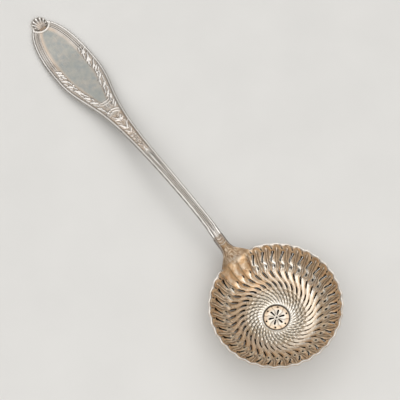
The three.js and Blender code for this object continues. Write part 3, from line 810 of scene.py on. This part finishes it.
def raise_wall(radius, angle, relief, depth):
    """The plate inside the rim. Depth runs from 0 inside to 1 outside, where the relief fades."""
    wall = blend(FLOOR_WALL, RIM_WALL, from_seat(radius))
    back = ramp(from_seat(radius), *SMOOTH_BACK)
    rounding = RIM_ROUND * np.sin(np.pi * depth) * (radius > ON_RIM)
    inside = wall_point(radius, angle, relief, rounding)
    outside = wall_point(radius, angle, relief * back - wall, rounding)

    # The seat: a ledge under the rosette, with a hole through the floor
    seat = radius < SEAT_RADIUS - 0.01
    ledge = lean(radius, angle, np.full_like(radius, -BOWL_DEPTH - SEAT_DROP))
    inside = np.where(seat[:, None], ledge, inside)

    # The channel of the neck cuts down through the wall
    for skin, floor, reach in ((inside, throat_top, 2.4), (outside, throat_under, 1.4)):
        half = half_width(skin[:, 0])
        near = (skin[:, 0] > 18) & (abs(skin[:, 1]) < 1.9 * half)
        cut = soft_minimum(skin[:, 2], floor(skin[:, 0], skin[:, 1]), reach)
        skin[:, 2] = np.where(near, cut, skin[:, 2])
    return blend(inside, outside, depth[:, None])


print(f"the petals start to show outside {SMOOTH_BACK[0]:.0%} of the way to the rim")


# %% The neck past the rim
def shape_neck(out, turn, depth):
    """The tab as the neck. Out runs from 0 at the rim to 1 at the seam with the handle."""
    rim_x = RIM_RADIUS * np.cos(spoon_turn(turn))
    side = np.clip(RIM_RADIUS * np.sin(spoon_turn(turn)) / half_width(rim_x), -1, 1)
    x = blend(rim_x, SEAM_X, out)
    half = half_width(x)
    edge = abs(side) ** 5
    swell = 0.18 * np.sin(np.pi * depth) * edge
    y = side * (half + swell)
    from_side = (1 - abs(side)) * half
    struck = ramp(x, 28, 31.5) * (FACE_DROP - stem_face(x, y, from_side))
    top = throat_top(x, side * half) - struck + neck_relief(x, y) - 0.15 * edge
    under = throat_under(x, side * half) + 0.35 * edge * thickness_line(x)
    z = blend(top, under, depth)
    x = x + (z - SEAM_MIDDLE) * math.tan(SCARF_SLOPE) * ramp(out, 0.45, 1.0)
    return np.stack([x, y, z], -1)


print(f"the neck is {2 * half_width(SEAM_X):.1f} mm wide at its seam")

# %% Raise the whole blank
SLOT_TAPER = 0.6


def raise_blank(radius, turn, depth, at_slot):
    """From the flat plate to the bowl and neck. The slots narrow towards the outside."""
    petal = np.round(turn / PETAL_TURN)
    across = 2 * (turn / PETAL_TURN - petal)
    slot_turn = (petal + np.where(abs(across) < 0.5, 0.0, 0.5 * np.sign(across))) * PETAL_TURN
    turn = turn + (slot_turn - turn) * SLOT_TAPER * depth * at_slot
    plain = abs((petal + PETALS / 2) % PETALS - PETALS / 2) < PLAIN_PETALS / 2
    on_wall = np.minimum(radius, RIM_ROW)
    relief = petal_relief(on_wall, across, petal, plain)
    shift = np.radians(slot_shift(on_wall)) * (1 - ramp(abs(across), 0.3, 0.95))
    angle = turn + FIRST_PETAL + np.radians(petal_flow(on_wall)) + shift
    points = raise_wall(on_wall, angle, relief, depth)
    out = np.clip((radius - RIM_ROW) / NECK_TAB, 0, 1)
    into_neck = ramp(out, 0.0, 0.16) * (radius > RIM_ROW + 0.001)
    points = blend(points, shape_neck(out, turn, depth), into_neck[:, None])
    points[:, 2] = np.maximum(points[:, 2], 0.0)
    return points, across, plain, relief


def flat_places(bm):
    """The radius, angle and depth of each vertex in a flat plate."""
    x, y, z = read_points(bm).T
    return np.hypot(x, y), np.arctan2(y, x), np.clip(abs(z), 0, 1)


def on_sawn_edge(bm):
    """One for each vertex at the edge of a slot."""
    at_edge = [any(face.material_index == 1 for face in vertex.link_faces) for vertex in bm.verts]
    return np.array(at_edge, float)


sawn_edge = on_sawn_edge(blank)
radius, turn, depth = flat_places(blank)
bowl_points, across, plain, relief = raise_blank(radius, turn, depth, sawn_edge)
print(f"the petals' relief runs from {relief.min():.2f} to {relief.max():.2f} mm")

# %% Dark places of the bowl
# Tarnish lies in the grooves, beside the ribs and in the corners of the wedges. Round the
# slots, on their sawn edges and round the rosette's seat, the dark is painted shade.
def soft_line(distance, width):
    return np.exp(-((distance / width) ** 2))


def between_rings(*rings):
    return sum(bump(radius - 0.5 * (low + high), 0.5 * (high - low) + 0.2) for low, high in rings)


from_crest = abs(across)
groove_gap = (1 - from_crest) * PETAL_TURN / 2 * radius
in_groove = soft_line(groove_gap, 0.24) * ramp(radius, 6.2, 8)
in_groove = np.maximum(in_groove, soft_line(groove_gap, 0.4) * plain * (radius > 20))
in_groove *= blend(0.8, 0.5, ramp(radius, 11, 14))
ribbed = band(radius, (20, 21.6), (25.4, 26.4)) * ~plain
arms = bump(from_crest - 0.3, 0.16) * between_rings((24.3, 25.3))
lobe_edge = soft_line(from_crest - 0.5, 0.1) * bump(radius - 25.9, 0.8)
# Painted shade: a dark ring round the slots in the grooves, so that they read dark.
slot_painted_shade = between_rings((16.9, 19.5), (13.5, 15.5)) * bump(groove_gap, 0.85)
hollow = blend(in_groove, soft_line(groove_gap - 0.52, 0.24), ribbed)
hollow += 0.4 * side_line(radius, across, 0.1) + 0.9 * slot_painted_shade
hollow += (0.8 * arms + 0.55 * lobe_edge) * ~plain
# Painted shade round the rosette's seat, and dark along every slot's sawn edge.
seat_painted_shade = 0.8 * (1 - ramp(radius, 5.75, 6.3))
hollow = np.maximum.reduce([hollow, seat_painted_shade, sawn_edge])
print(f"tarnish covers {np.mean(hollow > 0.5):.0%} of the bowl's points")

# %% Rubbed places of the bowl
# Cloths and sugar reach the tongues, the lobes, the crests and the ribs first.
tongue_half = petal_tongue(radius)
tongue = 1 - ramp(from_crest, tongue_half - 0.1, tongue_half + 0.14)
tongue *= band(radius, (18.5, 20.5), (24.4, 25.4))
lobe_top = bump(across, 0.4) * bump(radius - 26, 0.7)
crests = ramp(relief, 0.5, 0.95) * ramp(radius, 13, 18)
ribs = np.maximum(bump(groove_gap, 0.36), 0.5 * bump(from_crest - 0.66, 0.2)) * ribbed
worn = np.maximum(0.9 * np.maximum(crests, ribs), (tongue + 0.7 * lobe_top) * ~plain)
print(f"the gilding is rubbed on {np.mean(worn > 0.5):.0%} of the bowl's points")

# %% The neck's shade, leaf and silver
x, y = bowl_points[:, 0], bowl_points[:, 1]
past_rim, from_handle = radius > RIM_ROW + 0.001, abs(spoon_turn(turn))
neck_face = past_rim & (depth < 0.5)
edge_first = 7 * ramp(abs(y) / half_width(x), 0.6, 0.9)
neck_silver = ramp(x + edge_first, 32, 41) * past_rim
throat_shade = 0.62 * ramp(x, 24.3, 26) * (radius > 23) * (from_handle < 0.3)
throat_shade *= blend(1.0, 0.45, ramp(x, 28, 33)) * (1 - neck_silver)
neck_shade = np.maximum(throat_shade, 0.62 * band(x, (27, 31), (37, 41)) * past_rim)
on_leaf, veins = neck_leaf(x, y)
leaf_pale = np.maximum(0.45 * on_leaf * veins, 0.6 * neck_strokes(x, y)) * neck_face
neck_shade = neck_shade * (1 - 0.6 * leaf_pale) + 0.14 * on_leaf * (1 - veins) * neck_face
print(f"bare silver starts {SEAM_X - x[neck_silver > 0.5].min():.1f} mm before the seam")

# %% Hand the bowl over
inside_rim = ~past_rim * (1 - ramp(radius, 26, 26.7))
beside_neck = ramp(from_handle, NECK_ANGLE - 0.03, NECK_ANGLE + 0.05)
rim_edge = (abs(radius - RIM_ROW) < 0.01) & (depth < 0.9)
bowl_marks = {
    "hollow": np.maximum(hollow * inside_rim, neck_shade),
    "rubbed": np.maximum.reduce([1 - ramp(radius, 9.5, 20), worn * inside_rim, leaf_pale]),
    "bare": np.maximum(rim_edge * beside_neck, neck_silver),
    "flank": from_crest,
    "lined": band(radius, (7, 12), (21.5, 24.5)) * ~plain * ~past_rim,
}
make_piece("bowl_body", blank, bowl_points, bowl_marks, [gilt, sawn], ["bowl"])

# %% [markdown]
# ## The rosette
# A small disc closes the bowl's floor. It has six drop-shaped slots, six drilled holes near its
# edge and one in its middle, and lies on a ledge. The fine dark seam round it is painted shade.

# %% The rosette's blank
ROSETTE_RADIUS, ROSETTE_THICKNESS, MIDDLE_HOLE = 5.5, 0.55, 0.3
ROSETTE_PETALS, SLOT_TURN, HOLE_TURN = 6, math.radians(6), math.radians(14)
SECTOR = math.tau / ROSETTE_PETALS
ROSETTE_FLANK = [0.0, 0.08, 0.2, 0.35, 0.5, 0.64, 0.78, 0.9, 1.0]
DROP = (3.45, 1.0, 0.0, [(0.0, 0.36), (0.35, 0.4), (1.0, 0.22)])
EDGE_HOLE = (4.92, 4.26, 0.3, [(0.0, 0.34)])

rosette_rows = rows_with_ends(np.linspace(MIDDLE_HOLE, ROSETTE_RADIUS, 26), [DROP, EDGE_HOLE])
rosette = pierced_petal(SECTOR, rosette_rows, [DROP, EDGE_HOLE], [], ROSETTE_FLANK)
spin_petals(rosette, SECTOR, ROSETTE_PETALS)
weld(rosette)
thicken(rosette, ROSETTE_RADIUS - 0.01)
print("rosette blank:", len(rosette.faces), "faces")

# %% Raise the rosette
disc_radius, disc_turn, disc_depth = flat_places(rosette)
disc_slots = on_sawn_edge(rosette)
to_slot = np.round(disc_turn / SECTOR) * SECTOR - disc_turn
disc_turn = disc_turn + to_slot * SLOT_TAPER * disc_depth * disc_slots
sector = 2 * (disc_turn / SECTOR - np.round(disc_turn / SECTOR))
petal_top = 0.26 * (1 - abs(sector) ** 1.6) * band(disc_radius, (0.4, 2), (4, 5.2)) - 0.2
edge_round = -0.12 * ramp(disc_radius, 5.2, 5.5)
thick = blend(1.05, ROSETTE_THICKNESS, ramp(disc_radius, 4.6, 4.85)) * disc_depth
disc_height = -BOWL_DEPTH - thick + (petal_top + edge_round) * (1 - disc_depth)
disc_angle = disc_turn + blend(SLOT_TURN, HOLE_TURN, ramp(disc_radius, 3.2, 4.4))
between_petals = soft_line((1 - abs(sector)) * disc_radius * 0.52, 0.2)
# Painted shade: dark at the seam round the rosette's edge and on the sawn edges of its slots.
seam_shade = 0.9 * ramp(disc_radius, 5, 5.4)
disc_marks = {
    "hollow": 0.08 + 0.5 * between_petals + seam_shade + disc_slots,
    "rubbed": 0.85 - 0.5 * ramp(disc_radius, 3, 4.6),
    "bare": np.zeros(len(disc_turn)),
}
disc_points = lean(disc_radius, disc_angle, disc_height)
make_piece("rosette", rosette, disc_points, disc_marks, [gilt, sawn], ["centre_rosette"])

# %% [markdown]
# ## The handle
# The handle is struck between two dies, which press threads, leaves and a husk into its face.
# A strip of plate is built from a grid and given a thickness, and the dies are a height for every
# point of the face: each mark below is stamped into that height, and the plate follows it.

# %% A strip of plate for the handle
EDGE_BAND, EDGE_COLUMNS, FIELD_COLUMNS = 5.6, 39, 20
STEM_ROWS = np.linspace(SEAM_X, 86.0, 64)
STRUCK_ROWS = np.linspace(86.0, SHOULDER_X, 386)
handle_rows = np.concatenate([STEM_ROWS, STRUCK_ROWS[1:]])
edge_shares = 1 - np.linspace(0, EDGE_BAND / OVAL_HALF, EDGE_COLUMNS + 1)
inner_share = edge_shares[-1]
field_shares = np.linspace(inner_share, -inner_share, FIELD_COLUMNS + 1)[1:-1]
handle_columns = np.concatenate([edge_shares, field_shares, -edge_shares[::-1]])
columns, rows = len(handle_columns) - 1, len(handle_rows) - 1

strip = flat_grid(rows, columns)
for vertex in strip.verts:
    row = round((vertex.co.x + 1) / 2 * rows)
    column = round((vertex.co.y + 1) / 2 * columns)
    vertex.co = (handle_rows[row], -handle_columns[column], 0.0)
bmesh.ops.recalc_face_normals(strip, faces=strip.faces)
thicken(strip)
side_edges = [e for e in strip.edges if stands_up(e) and abs(e.verts[0].co.y) > 0.999]
bmesh.ops.subdivide_edges(strip, edges=side_edges, cuts=3)
print("handle strip:", len(strip.faces), "faces")

# %% Lay the strip out along the handle
NOTCH_RADIUS = FINIAL_RADIUS + SEAM
SQUEEZE_FROM = 171.0
strip_x, strip_side, strip_depth = read_points(strip).T
strip_depth = np.clip(abs(strip_depth), 0, 1)
notch_y = np.clip(abs(strip_side) * half_width(SHOULDER_X), 0, NOTCH_RADIUS)
notch_x = np.clip(FINIAL_X - np.sqrt(NOTCH_RADIUS**2 - notch_y**2), FOOT_X, SHOULDER_X)
squeeze = (notch_x - SQUEEZE_FROM) / (SHOULDER_X - SQUEEZE_FROM)
squeezed = SQUEEZE_FROM + (strip_x - SQUEEZE_FROM) * squeeze
face_x = np.where(strip_x > SQUEEZE_FROM, squeezed, strip_x)
face_y = strip_side * half_width(strip_x)

outline_x = np.concatenate([np.linspace(SEAM_X - 4, 160, 300), np.linspace(160, 181.0, 260)[1:]])
outline_y = half_width(outline_x)


def from_outline(x, y):
    """Distance to the handle's side, for marks that follow it."""
    least = np.empty(len(x))
    for start in range(0, len(x), 4000):
        part = slice(start, start + 4000)
        across = outline_y - abs(y[part])[:, None]
        along = outline_x - x[part][:, None]
        least[part] = np.sqrt((across**2 + along**2).min(1))
    return least


inward = from_outline(face_x, face_y)
print(f"the handle's face is {np.ptp(face_x):.1f} mm long and {np.ptp(face_y):.1f} mm wide")

# %% Tools that mark the die
ground = np.zeros(len(face_x))


def between(value, low, high, fade):
    return band(value, (low - fade, low + fade), (high - fade, high + fade))


def stamp(shape, height):
    """Raise the face to a mark's height, where that is higher than what is there."""
    np.maximum(ground, shape * height, out=ground)


def leaf(x, y, angle, length, width, height):
    """A pointed leaf from its stalk at (x, y), with a fine line down its middle."""
    dx, dy = face_x - x, face_y - y
    along = (dx * math.cos(angle) + dy * math.sin(angle)) / length
    across = (dy * math.cos(angle) - dx * math.sin(angle)) / (0.5 * width)
    girth = np.sqrt(np.clip(4 * along * (1 - along), 0, 1)) * (1 - 0.35 * along)
    inside = (along > 0) & (along < 1)
    body = np.clip(1 - (across / np.maximum(girth, 0.05)) ** 2, 0, 1) ** 0.6 * inside
    stamp(body * (1 - 0.35 * bump(across, 0.28)), height)


def berry(x, y, radius, height):
    stamp(np.sqrt(np.clip(1 - ((face_x - x) ** 2 + (face_y - y) ** 2) / radius**2, 0, 1)), height)


def thread(points, width, height):
    """A raised line through a few points."""
    xs, ys = zip(*points)
    steps, knots = np.linspace(0, 1, 60), np.linspace(0, 1, len(points))
    line_x = smooth_line(list(zip(knots, xs)))(steps)
    line_y = smooth_line(list(zip(knots, ys)))(steps)
    spread = (face_x[:, None] - line_x) ** 2 + (face_y[:, None] - line_y) ** 2
    stamp(bump(np.sqrt(spread.min(1)), 0.5 * width), height)


def arch(x, half, haunch, end, width, height):
    """A thread bowed across the handle. Haunch is (share of its half, how far drawn back)."""
    share, back = haunch
    line = ((-1, end), (-share, back), (0, 0), (share, back), (1, end))
    thread([(x + drawn, half * out) for out, drawn in line], width, height)


print("the die has", len(ground), "points to mark")

# %% Threads, collar and arches
stamp(stem_face(face_x, face_y, inward), 1.0)
for from_edge, start, side in ((2.5, 156, -1), (3.35, 156, -1), (2.8, 153, 1), (3.7, 153, 1)):
    on_side = between(face_x, start, 175.5, 1.5) * (np.sign(face_y) == side)
    stamp(bump(inward - from_edge, 0.34) * on_side, 0.2)
from_shell = np.hypot(face_x - FINIAL_X, face_y) - NOTCH_RADIUS
stamp(bump(from_shell - 0.75, 0.7) * ramp(face_x, 174.5, 175.3), 0.26)
for x, half in ((121.9, 3.4), (123.3, 3.6)):
    arch(x, half, (0.6, 0.2), 1.6, 0.55, 0.24)
for x, half in ((116.1, 2.8), (117.5, 3.3)):
    arch(x, half, (0.55, -0.35), -1.3, 0.75, 0.36)
for y in np.arange(-2.2, 2.3, 0.75):
    thread([(119.1, 0.9 * y), (121.0, y)], 0.3, 0.2)
print(f"threads and arches cover {np.mean(ground > 0.05):.0%} of the face")

# %% Sprays of leaves up both sides of the cartouche
for side, first, last, apart in ((-1, 118, 156, 1.75), (1, 116, 151, 2.1)):
    for x in np.arange(first, last, apart):
        stray = math.sin(4.7 * x + side)
        inset, length = (4.5, 3.7) if x > 124 else (3.0, 2.8)
        stalk = side * (half_width(x) - inset - 0.35 * math.cos(3.1 * x))
        slant = side * math.radians(34 + 16 * stray)
        leaf(x, stalk, slant, length + 0.7 * stray, 1.25 + 0.25 * stray, 0.38 - 0.05 * stray)
        if x > 121:
            outer = side * (half_width(x + 1) - 2.75 - 0.2 * stray)
            slant = side * math.radians(16 - 14 * stray)
            leaf(x + 1.0, outer, slant, 2.3 - 0.4 * stray, 1.0, 0.3)
    thread([(x, side * (half_width(x) - 4.3)) for x in np.linspace(125, last, 9)], 0.45, 0.22)
for x, y in ((140.5, 6.3), (143.2, 7.0), (147.2, 7.6), (149.5, 7.9)):
    berry(x, y, 0.62, 0.36)
print(f"with the sprays, {np.mean(ground > 0.05):.0%}")

# %% A husk with a flower, on a ground of small leaves and curls
in_husk = between(face_x, 90, 114.5, 1.0)
across_curls = np.sin(4.9 * face_y + 2.1 * np.sin(2.3 * face_x))
curls = np.sin(4.4 * face_x + 1.9 * np.sin(3.1 * face_y)) * across_curls
stamp(in_husk * ramp(inward, 1.5, 2.0) * ramp(curls, -0.1, 0.7), 0.2)
for index, x in enumerate(np.arange(90.6, 114.2, 0.95)):
    side = 1 if index % 2 else -1
    slant = side * math.radians(30 + 18 * math.sin(3.3 * x))
    leaf(x, side * 0.3 * half_width(x), slant, 1.8, 0.6, 0.2)
for slant in (-58, -30, 0, 30, 58):
    leaf(109.9, 0.0, math.radians(slant), 3.6 if abs(slant) < 40 else 3.0, 1.1, 0.34)
berry(109.9, 0.0, 0.6, 0.38)

# Leaves in pairs: where each starts, its slant, and its length, width and height
HUSK_LEAVES = (
    (104.0, 0.15, 24, 4.6, 1.3, 0.34),
    (101.5, 0.2, 33, 3.4, 1.0, 0.3),
    (107.0, 1.4, 50, 2.4, 0.9, 0.28),
    (88.6, 0.7, -22, 3.6, 1.1, 0.3),
)
for side in (-1, 1):
    for x, y, slant, *sizes in HUSK_LEAVES:
        leaf(x, side * y, side * math.radians(slant), *sizes)
    berry(99.5, side, 0.46, 0.34)
    curl = ((92.5, 0.25), (94.6, 1.1), (96.6, 0.4), (98.6, 1.2))
    thread([(x, side * y) for x, y in curl], 0.5, 0.3)
thread([(98.6, 0), (104.0, 0)], 0.5, 0.32)
print(f"with the husk, {np.mean(ground > 0.05):.0%}, at most {ground.max():.2f} mm high")

# %% Move the strip's face to the die's marks
SIDE_ROUND = 0.16
side_share = abs(strip_side)
top = top_line(face_x) - FACE_DROP + ground - 0.1 * side_share**30
thinned = 1 - 0.45 * ramp(side_share, 0.66, 1.0) ** 1.5
under = top_line(face_x) - thickness_line(face_x) * thinned
height = blend(top, under, strip_depth)
rounded = SIDE_ROUND * (np.sin(np.pi * strip_depth) * (side_share > 0.999) - 1)
scarf = (1 - ramp(face_x, SEAM_X, SEAM_X + 6)) * (height - SEAM_MIDDLE) * math.tan(SCARF_SLOPE)
handle_points = np.stack(
    [face_x + scarf, face_y + np.sign(face_y) * rounded, np.maximum(height, 0)], -1
)
print(f"the handle stands {height.max():.1f} mm high at its crown")

# %% What the handle's finish reads
on_face = strip_depth < 0.01
low = 1 - np.clip(ground / 0.12, 0, 1)
in_panel = in_husk * ramp(inward, 0.9, 1.3)
in_sprays = between(face_x, 116, 156, 2.0) * between(inward, 1.4, 5.0, 0.3)
beside_collar = bump(from_shell - 1.6, 0.3) * (face_x > 173.5)
beside_threads = np.maximum(bump(inward - 1.42, 0.3), beside_collar)
fine_lines = soft_line(inward - 2.95, 0.16) + soft_line(inward - 2.1, 0.16)
beside_rib = bump(abs(face_y) - rib_half(face_x), 0.22) * between(face_x, 42, 88, 2.0)
hollow = low * np.maximum(0.24 * in_panel, 0.22 * in_sprays) + 0.42 * beside_threads
hollow += 0.8 * fine_lines * between(face_x, 154, 176, 1.5) + 0.5 * beside_rib
reserve = between(face_x, 124, 175, 1.0) * ramp(inward, 4.2, 5.2)
warm_margin = bump(inward - 4.3, 1.5) * between(face_x, 130, 177, 4.0)
warm_margin *= np.maximum(0.35 + 0.65 * (face_y > 0), ramp(face_x, 168, 174))
handle_marks = {
    "hollow": hollow * on_face,
    "warm": (0.6 * in_panel + np.maximum(0.3 * in_sprays * low, 0.5 * warm_margin)) * on_face,
    "reserve": reserve * (1 - 0.5 * warm_margin) * on_face,
    "bare": np.clip(ground / 0.25 - 0.2, 0, 1) * on_face,
}
make_piece("struck_handle", strip, handle_points, handle_marks, [silver], ["handle"])

# %% [markdown]
# ## The shell at the tip
# A small scallop shell stands in a notch between the cartouche's shoulders. Its ribs fan out from
# the foot, so the grid's columns fan out too, and its back is flat like the handle's.

# %% The shell's blank
SHELL_RIBS, SHELL_EDGE, SHELL_THICKNESS = 9, 1.9, 3.4
SHELL_SCALLOP, SHELL_FURROW, BEAD_HEIGHT = 0.22, 0.24, 0.42
SHELL_TURN = math.radians(77)
shell = flat_grid(12 * SHELL_RIBS, 26)
bmesh.ops.recalc_face_normals(shell, faces=shell.faces)
thicken(shell)
print("shell blank:", len(shell.faces), "faces")

# %% Fan the blank out into the shell
fan_turn, fan_along, fan_depth = read_points(shell).T
fan_turn, fan_along = fan_turn * SHELL_TURN, (fan_along + 1) / 2
fan_depth = np.clip(abs(fan_depth), 0, 1)
furrow = abs(np.sin(SHELL_RIBS * fan_turn * math.pi / (2 * SHELL_TURN))) ** 3
foot = (FOOT_X - FINIAL_X + FINIAL_RADIUS) / np.cos(fan_turn)
reach = 2 * FINIAL_RADIUS * np.cos(fan_turn) - SHELL_SCALLOP * furrow
fan_radius = blend(foot, reach, fan_along)
dome = 0.75 * np.clip(1 - fan_along**3.5, 0, 1) ** 0.8
shell_lip = ramp(fan_along, 0.84, 0.94)
furrow_depth = SHELL_FURROW * furrow * np.sqrt(fan_along) * (1 - 0.7 * shell_lip)
beads = BEAD_HEIGHT * bump(fan_along - 0.84, 0.13) * (1 - furrow)
face_height = blend(SHELL_EDGE, SHELL_THICKNESS, dome) - furrow_depth + beads
shell_x = FINIAL_X - FINIAL_RADIUS + fan_radius * np.cos(fan_turn)
shell_y, shell_z = fan_radius * np.sin(fan_turn), blend(face_height, 0.0, fan_depth)
shell_points = np.stack([shell_x, shell_y, shell_z], -1)
at_foot = 1 - ramp(fan_along, 0.05, 0.3)
in_pits = 0.7 * furrow * bump(fan_along - 0.7, 0.16)
rubbed_ribs = blend(0.35, 1.0, ramp(fan_along, 0.4, 0.8)) * (1 - furrow)
shell_marks = {
    "hollow": (in_pits + 0.35 * at_foot) * (fan_depth < 0.01),
    "warm": 0.3 * furrow + 0.35 * (1 - ramp(fan_along, 0.4, 0.6)),
    "reserve": np.zeros(len(fan_turn)),
    "bare": np.maximum(rubbed_ribs, shell_lip),
}
make_piece("tip_shell", shell, shell_points, shell_marks, [silver], ["finial"])

# %% [markdown]
# ## Floor, light and camera
# Silver shows what stands round it, so the light matters as much as the metal. A plain pale
# floor, a large soft window, a ceiling panel and a weak side panel show it as on a
# photographer's table. The camera stands where the photograph was taken from.

# %% Floor
def pale_floor():
    material, tree = new_material("pale floor")
    patches = cloud(tree, 30, 0.3, 0.7)
    grey, paler = "#d9d7d3", "#dddbd7"
    tone = add_node(tree, "Mix", LAYER, Factor_Float=patches, A_Color=grey, B_Color=paler)
    shader = add_node(tree, "BsdfPrincipled", Base_Color=tone, Roughness=0.9)
    add_node(tree, "OutputMaterial", Surface=shader)
    floor, mesh = flat_grid(1, 1, size=3.0), bpy.data.meshes.new("floor")
    floor.to_mesh(mesh)
    floor.free()
    mesh.materials.append(material)
    table = add_object("floor", mesh)
    table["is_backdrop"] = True
    return material


print("floor finish:", pale_floor().name)

# %% Lights
# Each lamp has a place and a size in metres and a power in watts, and looks at the spoon.
LAMPS = {
    "window": ((-0.62, 0.12, 0.9), 1.4, 6.6),
    "ceiling panel": ((0.52, -0.4, 0.98), 1.3, 3.8),
    "side panel": ((0.5, 0.66, 0.8), 1.0, 1.9),
}
for name, (stand, size, power) in LAMPS.items():
    lamp = bpy.data.lights.new(name, "AREA")
    lamp.shape, lamp.size, lamp.energy = "SQUARE", size, power
    holder = add_object(name, lamp)
    holder.location = stand
    holder.rotation_euler = (-Vector(stand)).to_track_quat("-Z", "Y").to_euler()
    print(f"{name}: {Vector(stand).length:.2f} m away, {power} W")

# %% A white ceiling that fades towards the horizon
world = bpy.data.worlds.new("studio")
bpy.context.scene.world = world
world.use_nodes = True
tree = world.node_tree
HORIZON, OVERHEAD, PALE_FROM = "#4c4c4c", "#e0e0e0", 0.85
around = add_node(tree, "TexCoord").outputs["Generated"]
up = add_node(tree, "SeparateXYZ", Vector=around).outputs["Z"]
height = add_node(tree, "MapRange", Value=up, From_Min=0.3, From_Max=PALE_FROM)
glow = add_node(tree, "Mix", LAYER, Factor_Float=height, A_Color=HORIZON, B_Color=OVERHEAD)
tree.links.new(glow.outputs["Result"], tree.nodes["Background"].inputs["Color"])
print("the ceiling is palest from", round(math.degrees(math.asin(PALE_FROM))), "degrees up")

# %% Camera
CAMERA_PLACE = Vector((-44.15, 71.91, 335.22))
CAMERA_RIGHT = (-0.60609, -0.79539, 0.0)
CAMERA_UP = (0.74134, -0.56490, 0.36236)
CAMERA_BACK = (-0.28822, 0.21962, 0.93204)
camera = add_object("camera", bpy.data.cameras.new("camera"))
turned = Matrix((CAMERA_RIGHT, CAMERA_UP, CAMERA_BACK)).transposed().to_4x4()
place = (CAMERA_PLACE + Vector((MOUTH_X, 0, 0))) * MM
camera.matrix_world = Matrix.Translation(place) @ turned
camera.data.sensor_width, camera.data.lens = 36.0, 72.0
camera.data.clip_start = 0.01
bpy.context.scene.camera = camera
bpy.context.scene.view_settings.view_transform = "Standard"
print(f"the camera stands {place.length:.2f} m from the spoon")

# %% Print the two boxes and finish
visual_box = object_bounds()
sizes = {"cad": [list(corner) for corner in cad_box], "visual": [list(corner) for corner in visual_box]}
print("solid box", sizes["cad"])
print("visual box", sizes["visual"])
